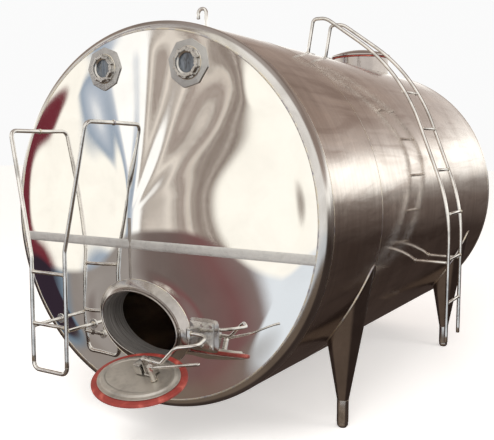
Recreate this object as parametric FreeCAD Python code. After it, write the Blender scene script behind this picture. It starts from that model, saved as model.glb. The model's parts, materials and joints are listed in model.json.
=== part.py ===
# Horizontal insulated milk storage tank on four cone legs, with an oval front manway whose
# door hangs open on a swan-neck arm, a front ladder, a side ladder and a top manway.
# Everything is worked out about the tank axis (x right, y from the front head to the rear,
# z up from the axis) and is then moved so that the origin is the centre of the footprint.
import FreeCAD, Part
import math
import os

V = FreeCAD.Vector

# ---- driving dimensions, millimetres -------------------------------------------------
SHELL_R = 1100.0            # outside radius of the cladding
WALL = 80.0                 # inner skin, insulation and cladding together
TANK_LENGTH = 3464.0        # front head to rear head, outside
RIM_DEPTH = 80.0            # length of the knuckle ring at each end
KNUCKLE_R = 51.0            # rounding between a flat head and the shell
STRAKE_Y = 755.0            # weld between the front and the rear strake
AXIS_HEIGHT = 1295.0        # tank axis above the floor
HEAD_SEAM_Z = -163.0        # horizontal weld across a head

MANWAY_X, MANWAY_Z = -62.0, -615.0
MANWAY_TURN = -12.3         # the oval's long axis, degrees from level
MANWAY_A, MANWAY_B = 282.0, 188.0       # outside half axes of the collar
MANWAY_SHEET = 10.0         # thickness of the collar
MANWAY_PROUD = 55.0         # collar in front of the head
MANWAY_DEEP = 130.0         # collar behind the face
FLARE = 55.0                # growth of the collar where it meets the head

DOOR_CENTRE = V(143.0, -297.0, -837.0)
DOOR_TILT = 69.0            # outward normal above the horizontal
DOOR_YAW = -8.0             # door turned about the vertical
DOOR_A, DOOR_B = 307.0, 223.0           # outside half axes of the gasket
GASKET_WIDTH = 44.0
GASKET_THICK = 22.0
PLATE_STEP = 66.0           # gasket edge to raised plate edge
PLATE_RISE = 28.0           # raised plate above the gasket's mid plane
DOOR_SHEET = 6.0
FLANGE_LAP = 8.0            # sheet flange past the gasket's inner edge
CLAMP_EX, CLAMP_SIZE = 4.0, (50.0, 56.0, 60.0)      # block at the middle of the door

PIVOT_EY, PIVOT_H = 42.0, 110.0         # hinge line of the door on the arm, in door axes
FORK_EX, FORK_HALF_GAP = 72.0, 28.0
FORK_CHEEK = (9.0, 44.0)                # thickness and width of a cheek
FORK_BASE = (60.0, 10.0)                # width and thickness of the base between them
FORK_ABOVE_PIVOT = 20.0
STUB_EX = 170.0             # where the arm turns up from the hinge line
LEVER_EX, LEVER_H = 128.0, 100.0
LEVER_LENGTH, LEVER_RISE = 380.0, 110.0
LEVER_R = 8.0
LEVER_HUB_R, LEVER_HUB_HALF = 15.0, 14.0
STUD_R = 7.0
STUD_CAP_R, STUD_CAP = 13.0, 6.0
RUNNING_GAP = 0.1           # between a pin and the bore that turns on it
FACE_GAP = 0.4              # between the faces of turning pieces

HINGE_X, HINGE_Y, ARM_START_Z = 300.0, -56.0, -618.0
HINGE_PIN_R = 8.0
HINGE_PIN_Z = (-716.0, -588.0)
HINGE_PLATE = (272.0, 430.0, -712.0, -557.0)        # x low, x high, z low, z high
HINGE_PLATE_THICK = 8.0
SLEEVE_R, SLEEVE_HALF = 16.0, 18.0
EAR_THICK = 10.0
ARM_R = 10.0
ARM_CORNERS = ((440.0, -75.0, -612.0), (485.0, -235.0, -620.0), (407.0, -325.0, -622.0))
ARM_BENDS = (105.0, 60.0, 28.0, 24.0)

SIGHT_GLASSES = ((-332.0, 850.0, 0.94), (263.0, 850.0, 1.0))        # x, z, relative size
SIGHT_PAD_R = 135.0
SIGHT_PAD_THICK = 6.0
SIGHT_RING_R = 86.0
SIGHT_GLASS_R = 53.0
SIGHT_RING_PROUD = 34.0
SIGHT_GLASS_THICK = 12.0

LADDER_R = 12.5             # rail tube
RUNG_R = 11.0
FRONT_STANDOFF = 230.0      # rail axis in front of the head
FRONT_LEFT_X, FRONT_RIGHT_X = -726.0, -452.0
FRONT_BOTTOM_Z = -934.0
FRONT_KINK_Z = {"left": -246.0, "right": -204.0}
FRONT_TOP = {"left": (-876.0, 495.0), "right": (-271.0, 540.0)}
FRONT_RUNG_Z = (-341.0, -653.0)
FRONT_BRACKET_Z = -672.0
FRONT_STEP_BEND = 44.0      # corners of the bottom step
FRONT_BENDS = (120.0, 40.0)
BRACKET_FOOT_R, BRACKET_FOOT = 30.0, 6.0

SIDE_NEAR_Y = 1561.0
SIDE_PITCH = 300.0          # rail to rail
SIDE_RAIL_X = 1263.0
SIDE_BOTTOM_Z = -900.0
SIDE_BRACKET_Z = -363.0
SIDE_RUNGS = ((1263.0, -639.0), (1263.0, -341.0), (1260.0, -36.0), (1163.0, 254.0),
              (1057.0, 534.0), (917.0, 785.0))

SIDE_PATH = ((1263.0, -900.0), (1263.0, 0.0), (908.0, 921.0), (345.0, 1319.0), (246.0, 1322.0),
             (206.0, 1086.0))
SIDE_BENDS = (1250.0, 1250.0, 130.0, 34.0)
SADDLE = (90.0, 60.0, 12.0)
SADDLE_SUNK = 5.0           # saddle plate below the shell's surface, before it is trimmed

STUB_BASE, STUB_TIP = (-378.0, 0.0, -727.0), (-425.0, -103.0, -686.0)
STUB_R = 11.0
STUB_FLANGE_R, STUB_FLANGE = 26.0, 5.0
STUB_NUT_R, STUB_NUT = 18.0, (62.0, 84.0)           # radius, and where it sits along the stub

TOP_MANWAY_Y = 3060.0
TOP_MANWAY_R = 250.0
TOP_MANWAY_RISE = 110.0     # neck above the shell's crown
TOP_MANWAY_SHEET = 6.0
TOP_GASKET_IN, TOP_GASKET_OUT = 30.0, 12.0          # gasket inside and outside the neck
TOP_LID_OUT, TOP_LID_BRIM = 18.0, 14.0
TOP_GASKET = 14.0
TOP_LID_DOME = 55.0

VENT_X, VENT_Y = 40.0, 500.0
VENT_R = 11.0
VENT_SPREAD = 58.0          # riser to the down-turned end
VENT_RISE = 152.0
VENT_DROP = 60.0            # down-turned end
VENT_BEND = 28.0
VENT_COLLAR_R, VENT_COLLAR = 28.0, 8.0

LEG_X = 876.0
LEG_YS = {"front": 737.0, "rear": 2893.0}
LEG_CONE_LOW_R = 36.0
LEG_CONE_LOW_Z = -1122.0
LEG_CONE_SLOPE = 0.18       # radius gained per unit of height
LEG_CONE_TOP_Z = -250.0
LEG_PIPE_R = 36.0
LEG_PIPE_LOW_Z = -1262.0
FOOT_R = 34.0
FOOT_FLAT_R = 22.0

SIDE_REACH = SIDE_RAIL_X + LADDER_R
FRONT_REACH = 511.0         # lowest edge of the hanging door in front of the head
CENTRE_X = (SIDE_REACH - SHELL_R) / 2
CENTRE_Y = (TANK_LENGTH - FRONT_REACH) / 2
SHIFT = V(-CENTRE_X, -CENTRE_Y, AXIS_HEIGHT)

Y, Z = V(0, 1, 0), V(0, 0, 1)


# ---- helpers --------------------------------------------------------------------------
def save(node, shape):
    """Write one sub-part, moved from the tank axis to the footprint's centre."""
    placed = shape.copy()
    placed.translate(SHIFT)
    placed.exportStep("parts/" + node + ".step")


def polar(radius, angle, y):
    """Point on a circle about the tank axis, angle up from +X in degrees."""
    turn = math.radians(angle)
    return V(radius * math.cos(turn), y, radius * math.sin(turn))


def ring_sector(inner, outer, low, high, y0, y1):
    """Part of a ring about the tank axis, between two angles and two cross planes."""
    middle = (low + high) / 2
    outside = Part.Arc(polar(outer, low, y0), polar(outer, middle, y0), polar(outer, high, y0))
    inside = Part.Arc(polar(inner, high, y0), polar(inner, middle, y0), polar(inner, low, y0))
    edges = [outside.toShape(),
             Part.makeLine(polar(outer, high, y0), polar(inner, high, y0)),
             inside.toShape(),
             Part.makeLine(polar(inner, low, y0), polar(outer, low, y0))]
    return Part.Face(Part.Wire(edges)).extrude(Y * (y1 - y0))


def ellipse_wire(centre, along, across, half_long, half_short):
    """Closed ellipse with its long axis along one unit vector and its short one across."""
    curve = Part.Ellipse(centre + along * half_long, centre + across * half_short, centre)
    return Part.Wire([curve.toShape()])


def oval(centre, along, across, half_long, half_short, rise):
    """Straight elliptical block that rises from its base plane by the vector rise."""
    wire = ellipse_wire(centre, along, across, half_long, half_short)
    return Part.Face(wire).extrude(rise)


def rod(start, end, radius):
    """Round bar between two points."""
    run = end - start
    return Part.makeCylinder(radius, run.Length, start, run)


def bent_tube(points, bends, radius):
    """Round tube along straight runs joined by tangent arcs, one bend radius per corner."""
    edges = []
    start = points[0]
    for index, bend in enumerate(bends):
        corner = points[index + 1]
        into = (corner - points[index]).normalize()
        out = (points[index + 2] - corner).normalize()
        half = into.getAngle(out) / 2
        reach = bend * math.tan(half)
        first = corner - into * reach
        last = corner + out * reach
        inward = (out - into).normalize()
        middle = corner + inward * (bend / math.cos(half) - bend)
        if (first - start).Length > 0.01:
            edges.append(Part.makeLine(start, first))
        edges.append(Part.Arc(first, middle, last).toShape())
        start = last
    edges.append(Part.makeLine(start, points[-1]))
    path = Part.Wire(edges)
    first_run = (points[1] - points[0]).normalize()
    profile = Part.Wire([Part.makeCircle(radius, points[0], first_run)])
    return path.makePipeShell([profile], True, False)


def joined(shapes):
    """One shape fused from several."""
    return shapes[0].fuse(shapes[1:]).removeSplitter()


# ---- tank -----------------------------------------------------------------------------
def head_sheet(y0, above):
    """Flat head sheet on one side of its horizontal weld: a disc cut by the weld's plane."""
    flat_r = SHELL_R - KNUCKLE_R
    disc = Part.makeCylinder(flat_r, WALL, V(0, y0, 0), Y)
    low = HEAD_SEAM_Z if above else -SHELL_R
    height = (SHELL_R if above else HEAD_SEAM_Z) - low
    keep = Part.makeBox(2 * SHELL_R, WALL, height, V(-SHELL_R, y0, low))
    return disc.common(keep)


def rim_ring(y0, faces_front):
    """Knuckle ring: a quarter round between the flat head and the shell, swept about Y."""
    sign = 1 if faces_front else -1
    flat_r = SHELL_R - KNUCKLE_R
    swing = KNUCKLE_R * math.sin(math.radians(45))
    start = V(flat_r, y0, 0)
    middle = V(flat_r + swing, y0 + sign * (KNUCKLE_R - swing), 0)
    end = V(SHELL_R, y0 + sign * KNUCKLE_R, 0)
    outer_back = V(SHELL_R, y0 + sign * RIM_DEPTH, 0)
    inner_back = V(flat_r, y0 + sign * RIM_DEPTH, 0)
    edges = [Part.Arc(start, middle, end).toShape(),
             Part.makeLine(end, outer_back),
             Part.makeLine(outer_back, inner_back),
             Part.makeLine(inner_back, start)]
    return Part.Face(Part.Wire(edges)).revolve(V(0, 0, 0), Y, 360)


def manway_axes():
    """Unit vectors along and across the oval, seen from the front."""
    turn = math.radians(MANWAY_TURN)
    return V(math.cos(turn), 0, math.sin(turn)), V(-math.sin(turn), 0, math.cos(turn))


def manway_oval(y0, y1, grow):
    """Oval block on the manway's axis between two planes, grown by a margin."""
    along, across = manway_axes()
    centre = V(MANWAY_X, y0, MANWAY_Z)
    return oval(centre, along, across, MANWAY_A + grow, MANWAY_B + grow, Y * (y1 - y0))


def manway_collar():
    """Collar through the head, flared where it meets the face, open all the way."""
    along, across = manway_axes()
    sections = []
    for y, grow in ((-MANWAY_PROUD, 0), (-36, 2), (-16, 14), (-5, 32), (0, FLARE)):
        centre = V(MANWAY_X, y, MANWAY_Z)
        sections.append(ellipse_wire(centre, along, across, MANWAY_A + grow, MANWAY_B + grow))
    flare = Part.makeLoft(sections, True, True)
    tube = manway_oval(-1, MANWAY_DEEP, 0)
    hole = manway_oval(-MANWAY_PROUD - 1, MANWAY_DEEP + 1, -MANWAY_SHEET)
    return flare.fuse(tube).cut(hole)


def make_tank():
    """Heads, rims and shell plates."""
    rear = TANK_LENGTH - WALL
    upper = head_sheet(0, True)
    for x, z, scale in SIGHT_GLASSES:
        upper = upper.cut(Part.makeCylinder(SIGHT_GLASS_R * scale, 2 * WALL, V(x, -1, z), Y))
    save("front_head_upper", upper)
    save("front_head_lower", head_sheet(0, False).cut(manway_oval(-1, WALL + 1, 0)))
    save("rear_head_upper", head_sheet(rear, True))
    save("rear_head_lower", head_sheet(rear, False))
    save("front_rim", rim_ring(0, True))
    save("rear_rim", rim_ring(TANK_LENGTH, False))
    strakes = {"front": (RIM_DEPTH, STRAKE_Y), "rear": (STRAKE_Y, TANK_LENGTH - RIM_DEPTH)}
    quarters = {"top_right": 0, "top_left": 90, "bottom_left": 180, "bottom_right": 270}
    for strake, (y0, y1) in strakes.items():
        for quarter, angle in quarters.items():
            plate = ring_sector(SHELL_R - WALL, SHELL_R, angle, angle + 90, y0, y1)
            if quarter.startswith("top") and strake == "rear":
                bore = Part.makeCylinder(TOP_MANWAY_R, SHELL_R, V(0, TOP_MANWAY_Y, 0), Z)
                plate = plate.cut(bore)
            save("shell_" + strake + "_" + quarter, plate)
    save("manway_collar", manway_collar())


# ---- manway door, arm and lever ---------------------------------------------------------
def door_axes():
    """Long axis, up-slope axis and outward normal of the hanging door."""
    tilt = math.radians(DOOR_TILT)
    yaw = math.radians(DOOR_YAW)
    along = V(math.cos(yaw), math.sin(yaw), 0)
    slope = V(-math.sin(yaw) * math.sin(tilt), math.cos(yaw) * math.sin(tilt), math.cos(tilt))
    normal = V(math.sin(yaw) * math.cos(tilt), -math.cos(yaw) * math.cos(tilt), math.sin(tilt))
    return along, slope, normal


def on_door(ex, ey, height):
    """Point given along the door, up its slope and out of its face."""
    along, slope, normal = door_axes()
    return DOOR_CENTRE + along * ex + slope * ey + normal * height


def door_oval(grow, low, high):
    """Oval block on the door between two heights, its edge moved in by grow."""
    along, slope, normal = door_axes()
    centre = on_door(0, 0, low)
    return oval(centre, along, slope, DOOR_A + grow, DOOR_B + grow, normal * (high - low))


def door_box(ex, ey, low, size_x, size_y, height):
    """Block standing on the door, centred on a place in door axes."""
    along, slope, normal = door_axes()
    block = Part.makeBox(size_x, size_y, height, V(-size_x / 2, -size_y / 2, 0))
    corner = on_door(ex, ey, low)
    matrix = FreeCAD.Matrix(along.x, slope.x, normal.x, corner.x,
                            along.y, slope.y, normal.y, corner.y,
                            along.z, slope.z, normal.z, corner.z,
                            0, 0, 0, 1)
    block.Placement = FreeCAD.Placement(matrix)
    return block


def make_door():
    """Oval door plate with a raised pan, its gasket, clamp block, fork and lever stud."""
    half = GASKET_THICK / 2
    flange = door_oval(FLANGE_LAP - GASKET_WIDTH, -half - DOOR_SHEET, -half)
    pan = door_oval(-PLATE_STEP, -half, PLATE_RISE)
    save("manway_door", flange.fuse(pan))
    save("door_gasket", door_oval(0, -half, half).cut(door_oval(-GASKET_WIDTH, -half, half)))
    save("door_clamp_block", door_box(CLAMP_EX, PIVOT_EY - 8, PLATE_RISE, *CLAMP_SIZE))
    cheek, width = FORK_CHEEK
    cheeks = [door_box(FORK_EX + side * FORK_HALF_GAP, PIVOT_EY, PLATE_RISE, cheek, width,
                       PIVOT_H + FORK_ABOVE_PIVOT - PLATE_RISE) for side in (-1, 1)]
    base = door_box(FORK_EX, PIVOT_EY, PLATE_RISE, 2 * FORK_HALF_GAP + cheek, *FORK_BASE)
    bore = rod(on_door(0, PIVOT_EY, PIVOT_H), on_door(STUB_EX, PIVOT_EY, PIVOT_H),
               ARM_R + RUNNING_GAP)
    save("door_fork", joined(cheeks + [base]).cut(bore))
    foot = on_door(LEVER_EX, 0, PLATE_RISE)
    seat = on_door(LEVER_EX, 0, LEVER_H - LEVER_HUB_HALF)
    cap = on_door(LEVER_EX, 0, LEVER_H + LEVER_HUB_HALF + FACE_GAP)
    top = on_door(LEVER_EX, 0, LEVER_H + LEVER_HUB_HALF + STUD_CAP)
    save("lever_stud", joined([rod(foot, top, STUD_R), rod(foot, seat, LEVER_HUB_R),
                               rod(cap, top, STUD_CAP_R)]))


def make_lever():
    """Lever: a hub on the stud and a straight bar that rises away from the door."""
    hub = rod(on_door(LEVER_EX, 0, LEVER_H - LEVER_HUB_HALF + FACE_GAP),
              on_door(LEVER_EX, 0, LEVER_H + LEVER_HUB_HALF), LEVER_HUB_R)
    bar = rod(on_door(LEVER_EX, 0, LEVER_H),
              on_door(LEVER_EX + LEVER_LENGTH, 0, LEVER_H + LEVER_RISE), LEVER_R)
    hole = rod(on_door(LEVER_EX, 0, LEVER_H - 2 * LEVER_HUB_HALF),
               on_door(LEVER_EX, 0, LEVER_H + 2 * LEVER_HUB_HALF), STUD_R + RUNNING_GAP)
    save("door_lever", hub.fuse(bar).cut(hole))


def make_hinge():
    """Hinge plate with two ears, the pin through them, and the swan-neck arm on the pin."""
    x0, x1, z0, z1 = HINGE_PLATE
    plate = Part.makeBox(x1 - x0, HINGE_PLATE_THICK, z1 - z0, V(x0, -HINGE_PLATE_THICK, z0))
    ears = []
    for low in (ARM_START_Z - SLEEVE_HALF - FACE_GAP - EAR_THICK,
                ARM_START_Z + SLEEVE_HALF + FACE_GAP):
        round_end = Part.makeCylinder(SLEEVE_R, EAR_THICK, V(HINGE_X, HINGE_Y, low), Z)
        web = Part.makeBox(2 * SLEEVE_R, -HINGE_Y, EAR_THICK, V(HINGE_X - SLEEVE_R, HINGE_Y, low))
        ears.append(round_end.fuse(web))
    pin = rod(V(HINGE_X, HINGE_Y, HINGE_PIN_Z[0]), V(HINGE_X, HINGE_Y, HINGE_PIN_Z[1]), HINGE_PIN_R)
    save("hinge_bracket", joined([plate, pin] + ears))
    sleeve = rod(V(HINGE_X, HINGE_Y, ARM_START_Z - SLEEVE_HALF),
                 V(HINGE_X, HINGE_Y, ARM_START_Z + SLEEVE_HALF), SLEEVE_R)
    bore = rod(V(HINGE_X, HINGE_Y, HINGE_PIN_Z[0]), V(HINGE_X, HINGE_Y, HINGE_PIN_Z[1]),
               HINGE_PIN_R + RUNNING_GAP)
    corners = [V(*corner) for corner in ARM_CORNERS]
    points = ([V(HINGE_X, HINGE_Y, ARM_START_Z)] + corners
              + [on_door(STUB_EX, PIVOT_EY, PIVOT_H),
                 on_door(FORK_EX - FORK_HALF_GAP - 12, PIVOT_EY, PIVOT_H)])
    arm = bent_tube(points, ARM_BENDS, ARM_R)
    save("swing_arm", sleeve.fuse(arm).cut(bore))


# ---- fittings on the front head -----------------------------------------------------------
def make_sight_glasses():
    """Weld pads, flange rings and glasses of the two sight glasses."""
    pads, rings, glasses = [], [], []
    for x, z, scale in SIGHT_GLASSES:
        base = V(x, 0, z)
        bore = Part.makeCylinder(SIGHT_GLASS_R * scale, 200, base + Y * 100, Y * -1)
        pad = Part.makeCylinder(SIGHT_PAD_R * scale, SIGHT_PAD_THICK, base, Y * -1)
        ring = Part.makeCylinder(SIGHT_RING_R * scale, SIGHT_RING_PROUD - SIGHT_PAD_THICK,
                                 base - Y * SIGHT_PAD_THICK, Y * -1)
        pads.append(pad.cut(bore))
        rings.append(ring.cut(bore))
        glasses.append(Part.makeCylinder(SIGHT_GLASS_R * scale, SIGHT_GLASS_THICK,
                                         base - Y * SIGHT_GLASS_THICK, Y * -1))
    save("sight_pads", Part.makeCompound(pads))
    save("sight_rings", Part.makeCompound(rings))
    save("sight_glasses", Part.makeCompound(glasses))


def make_sampling_stub():
    """Short stub pipe with a hexagon nut beside the manway."""
    base, tip = V(*STUB_BASE), V(*STUB_TIP)
    run = (tip - base).normalize()
    flange = rod(base, base - Y * STUB_FLANGE, STUB_FLANGE_R)
    pipe = rod(base, tip, STUB_R)
    nut = rod(base + run * STUB_NUT[0], base + run * STUB_NUT[1], STUB_NUT_R)
    behind_face = Part.makeBox(400, 100, 400, base - V(200, 0, 200))
    save("sampling_stub", joined([flange, pipe, nut]).cut(behind_face))


# ---- ladders ------------------------------------------------------------------------------
def make_front_ladder():
    """Two rails that flare into handrails and bend back to the head, a step between them."""
    y = -FRONT_STANDOFF
    step_top = FRONT_BOTTOM_Z + FRONT_STEP_BEND + 1
    rails = {"left": FRONT_LEFT_X, "right": FRONT_RIGHT_X}
    brackets = []
    for side, x in rails.items():
        top_x, top_z = FRONT_TOP[side]
        points = [V(x, y, step_top), V(x, y, FRONT_KINK_Z[side]), V(top_x, y, top_z),
                  V(top_x, 0, top_z)]
        save("front_rail_" + side, bent_tube(points, FRONT_BENDS, LADDER_R))
        bracket = rod(V(x, y, FRONT_BRACKET_Z), V(x, 0, FRONT_BRACKET_Z), RUNG_R)
        reach = Part.makeCylinder(LADDER_R, 80, V(x, y, FRONT_BRACKET_Z - 40), Z)
        foot = rod(V(x, -BRACKET_FOOT, FRONT_BRACKET_Z), V(x, 0, FRONT_BRACKET_Z), BRACKET_FOOT_R)
        brackets.append(bracket.fuse(foot).cut(reach))
    save("front_brackets", Part.makeCompound(brackets))
    bottom = [V(FRONT_LEFT_X, y, step_top), V(FRONT_LEFT_X, y, FRONT_BOTTOM_Z),
              V(FRONT_RIGHT_X, y, FRONT_BOTTOM_Z), V(FRONT_RIGHT_X, y, step_top)]
    save("front_bottom_step", bent_tube(bottom, (FRONT_STEP_BEND, FRONT_STEP_BEND), LADDER_R))
    bars = [rod(V(FRONT_LEFT_X + LADDER_R, y, z), V(FRONT_RIGHT_X - LADDER_R, y, z), RUNG_R)
            for z in FRONT_RUNG_Z]
    save("front_rungs", Part.makeCompound(bars))


def side_foot(y, shell):
    """Saddle plate under the upper end of a side rail."""
    foot_x, foot_z = SIDE_PATH[-1]
    end = V(foot_x, y, foot_z)
    out = V(foot_x, 0, foot_z).normalize()
    length, width, thick = SADDLE
    plate = Part.makeBox(length, width, thick, V(-length / 2, -width / 2, -SADDLE_SUNK))
    turn = math.degrees(math.atan2(out.x, out.z))
    plate.Placement = FreeCAD.Placement(out * SHELL_R + Y * y, FreeCAD.Rotation(Y, turn))
    last_run = (end - V(SIDE_PATH[-2][0], y, SIDE_PATH[-2][1])).normalize()
    tube = rod(end - last_run * 60, end, LADDER_R)
    return plate.cut(shell).cut(tube)


def make_side_ladder():
    """Ladder that follows the shell: two bent rails, rungs, standoffs and top feet."""
    rails = {"near": SIDE_NEAR_Y, "far": SIDE_NEAR_Y + SIDE_PITCH}
    brackets, feet = [], []
    for side, y in rails.items():
        shell = Part.makeCylinder(SHELL_R, 400, V(0, y - 200, 0), Y)
        points = [V(x, y, z) for x, z in SIDE_PATH]
        save("side_rail_" + side, bent_tube(points, SIDE_BENDS, LADDER_R).cut(shell))
        attach_x = math.sqrt(SHELL_R ** 2 - SIDE_BRACKET_Z ** 2)
        bar = rod(V(attach_x - 20, y, SIDE_BRACKET_Z), V(SIDE_RAIL_X, y, SIDE_BRACKET_Z), RUNG_R)
        reach = Part.makeCylinder(LADDER_R, 80, V(SIDE_RAIL_X, y, SIDE_BRACKET_Z - 40), Z)
        brackets.append(bar.cut(shell).cut(reach))
        feet.append(side_foot(y, shell))
    save("side_brackets", Part.makeCompound(brackets))
    save("side_top_feet", Part.makeCompound(feet))
    bars = [rod(V(x, SIDE_NEAR_Y + LADDER_R, z), V(x, SIDE_NEAR_Y + SIDE_PITCH - LADDER_R, z), RUNG_R)
            for x, z in SIDE_RUNGS]
    save("side_rungs", Part.makeCompound(bars))


# ---- top of the tank ------------------------------------------------------------------------
def make_top_manway():
    """Round neck through the crown with a domed lid on its gasket."""
    base = V(0, TOP_MANWAY_Y, 0)
    low = math.sqrt((SHELL_R - WALL) ** 2 - TOP_MANWAY_R ** 2)
    neck_top = SHELL_R + TOP_MANWAY_RISE
    neck = Part.makeCylinder(TOP_MANWAY_R, neck_top - low, base + Z * low, Z)
    hole = Part.makeCylinder(TOP_MANWAY_R - TOP_MANWAY_SHEET, neck_top - low, base + Z * low, Z)
    save("top_manway_neck", neck.cut(hole))
    seat = base + Z * neck_top
    band = Part.makeCylinder(TOP_MANWAY_R + TOP_GASKET_OUT, TOP_GASKET, seat, Z)
    inside = Part.makeCylinder(TOP_MANWAY_R - TOP_GASKET_IN, TOP_GASKET, seat, Z)
    save("top_manway_gasket", band.cut(inside))
    lid_r = TOP_MANWAY_R + TOP_LID_OUT
    brim = seat + Z * TOP_GASKET
    dome_r = (lid_r ** 2 + TOP_LID_DOME ** 2) / (2 * TOP_LID_DOME)
    ball = Part.makeSphere(dome_r, brim + Z * (TOP_LID_DOME - dome_r + TOP_LID_BRIM))
    over = Part.makeCylinder(lid_r, TOP_LID_DOME + 20, brim, Z)
    save("top_manway_lid", ball.common(over))


def make_vent():
    """Gooseneck breather: a riser that turns over and points down."""
    crown = math.sqrt(SHELL_R ** 2 - VENT_X ** 2)
    top = SHELL_R + VENT_RISE - VENT_R
    left = VENT_X - VENT_SPREAD
    points = [V(VENT_X, VENT_Y, crown - 4), V(VENT_X, VENT_Y, top), V(left, VENT_Y, top),
              V(left, VENT_Y, top - VENT_DROP)]
    shell = Part.makeCylinder(SHELL_R, 200, V(0, VENT_Y - 100, 0), Y)
    tube = bent_tube(points, (VENT_BEND, VENT_BEND), VENT_R)
    collar = rod(V(VENT_X, VENT_Y, crown - 4), V(VENT_X, VENT_Y, crown + VENT_COLLAR),
                 VENT_COLLAR_R)
    save("vent_gooseneck", joined([tube, collar]).cut(shell))


# ---- legs -----------------------------------------------------------------------------------
def make_leg(name, x, y):
    """Cone trimmed by the shell, a stub pipe below it and a rounded adjustable foot."""
    top_r = LEG_CONE_LOW_R + LEG_CONE_SLOPE * (LEG_CONE_TOP_Z - LEG_CONE_LOW_Z)
    cone = Part.makeCone(LEG_CONE_LOW_R, top_r, LEG_CONE_TOP_Z - LEG_CONE_LOW_Z,
                         V(x, y, LEG_CONE_LOW_Z), Z)
    cone.rotate(V(x, y, 0), Z, 0 if x > 0 else 180)     # the cone's seam faces away from the tank
    shell = Part.makeCylinder(SHELL_R, 1200, V(0, y - 600, 0), Y)
    save("leg_cone_" + name, cone.cut(shell))
    pipe = rod(V(x, y, LEG_PIPE_LOW_Z), V(x, y, LEG_CONE_LOW_Z), LEG_PIPE_R)
    floor = -AXIS_HEIGHT
    height = LEG_PIPE_LOW_Z - floor
    foot = Part.makeCone(FOOT_FLAT_R, FOOT_R, height / 2, V(x, y, floor), Z)
    top = Part.makeCylinder(FOOT_R, height / 2, V(x, y, floor + height / 2), Z)
    save("leg_foot_" + name, joined([pipe, top, foot]))


def main():
    os.makedirs("parts", exist_ok=True)
    make_tank()
    make_door()
    make_lever()
    make_hinge()
    make_sight_glasses()
    make_sampling_stub()
    make_front_ladder()
    make_side_ladder()
    make_top_manway()
    make_vent()
    for end, y in LEG_YS.items():
        make_leg(end + "_right", LEG_X, y)
        make_leg(end + "_left", -LEG_X, y)


main()
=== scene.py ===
"""Looks of a horizontal milk storage tank, built around its packed frame as an add-on."""
import json
import math

import bpy
import numpy as np
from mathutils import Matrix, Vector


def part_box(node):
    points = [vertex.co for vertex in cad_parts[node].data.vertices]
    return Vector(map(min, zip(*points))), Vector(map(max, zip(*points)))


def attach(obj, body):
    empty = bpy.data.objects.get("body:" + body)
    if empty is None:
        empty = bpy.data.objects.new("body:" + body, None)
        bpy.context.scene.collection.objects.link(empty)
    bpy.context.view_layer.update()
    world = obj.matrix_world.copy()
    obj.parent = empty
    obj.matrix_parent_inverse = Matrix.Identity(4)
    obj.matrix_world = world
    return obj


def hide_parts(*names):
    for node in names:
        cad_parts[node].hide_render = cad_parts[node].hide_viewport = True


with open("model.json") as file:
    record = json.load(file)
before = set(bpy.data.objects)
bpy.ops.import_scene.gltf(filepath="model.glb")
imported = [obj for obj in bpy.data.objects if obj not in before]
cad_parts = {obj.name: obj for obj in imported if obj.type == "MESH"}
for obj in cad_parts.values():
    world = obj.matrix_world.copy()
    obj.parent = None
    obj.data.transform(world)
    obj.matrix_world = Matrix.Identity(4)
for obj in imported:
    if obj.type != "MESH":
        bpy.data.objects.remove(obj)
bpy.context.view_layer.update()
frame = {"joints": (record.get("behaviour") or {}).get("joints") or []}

bl_info = {
    "name": "Milk Tank Builder",
    "version": (1, 0, 0),
    "blender": (4, 5, 0),
    "location": "3D View > Sidebar > Milk Tank",
    "description": "Builds the visible sheets, tubes, welds and fittings of a milk storage tank",
    "category": "Add Mesh",
}

# ---- places, in metres, from the frame ---------------------------------------------------
RIM_LOW, RIM_HIGH = (np.array(corner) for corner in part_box("front_rim"))
SHELL_R = (RIM_HIGH[0] - RIM_LOW[0]) / 2
ORIGIN = np.array([(RIM_LOW[0] + RIM_HIGH[0]) / 2, RIM_LOW[1], (RIM_LOW[2] + RIM_HIGH[2]) / 2])
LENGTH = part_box("rear_rim")[1][1] - ORIGIN[1]
RIM_DEPTH = RIM_HIGH[1] - RIM_LOW[1]
STRAKE_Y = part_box("shell_front_top_left")[1][1] - ORIGIN[1]
SEAM_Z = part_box("front_head_lower")[1][2] - ORIGIN[2]
WALL = 0.080
KNUCKLE = 0.051
FLAT_R = SHELL_R - KNUCKLE

MANWAY = np.array([-0.062, 0.0, -0.615])
MANWAY_TURN = math.radians(-12.3)
MANWAY_A, MANWAY_B = 0.282, 0.188
MANWAY_SHEET = 0.010
MANWAY_PROUD, MANWAY_DEEP = 0.055, 0.130
FLARE = 0.055
FAN = np.array([-0.157, -0.010])        # where the head's sheet was pulled tight, x and z

SIGHTS = ((-0.332, 0.850, 0.94), (0.263, 0.850, 1.0))


def joint(name):
    """Place and unit axis of a joint, in the row frame."""
    found = [j for j in frame["joints"] if j["name"] == name][0]
    axis = np.array(found["axis"], float)
    return np.array(found["pos_m"], float), axis / np.linalg.norm(axis)


HINGE_LINE, ALONG = joint("door_tilt")
LEVER_POINT, INWARD = joint("lever_turn")
PIN_POINT, PIN_AXIS = joint("arm_swing")
NORMAL = -INWARD
SLOPE = np.cross(NORMAL, ALONG)
DOOR = LEVER_POINT - 0.128 * ALONG - 0.100 * NORMAL


def tank(x, y, z):
    """A place given from the tank axis at the front face, in the row frame."""
    return ORIGIN + np.array([x, y, z])


def on_door(ex, ey, height):
    """A place given along the door, up its slope and out of its face, in the row frame."""
    return DOOR + ALONG * ex + SLOPE * ey + NORMAL * height


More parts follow.
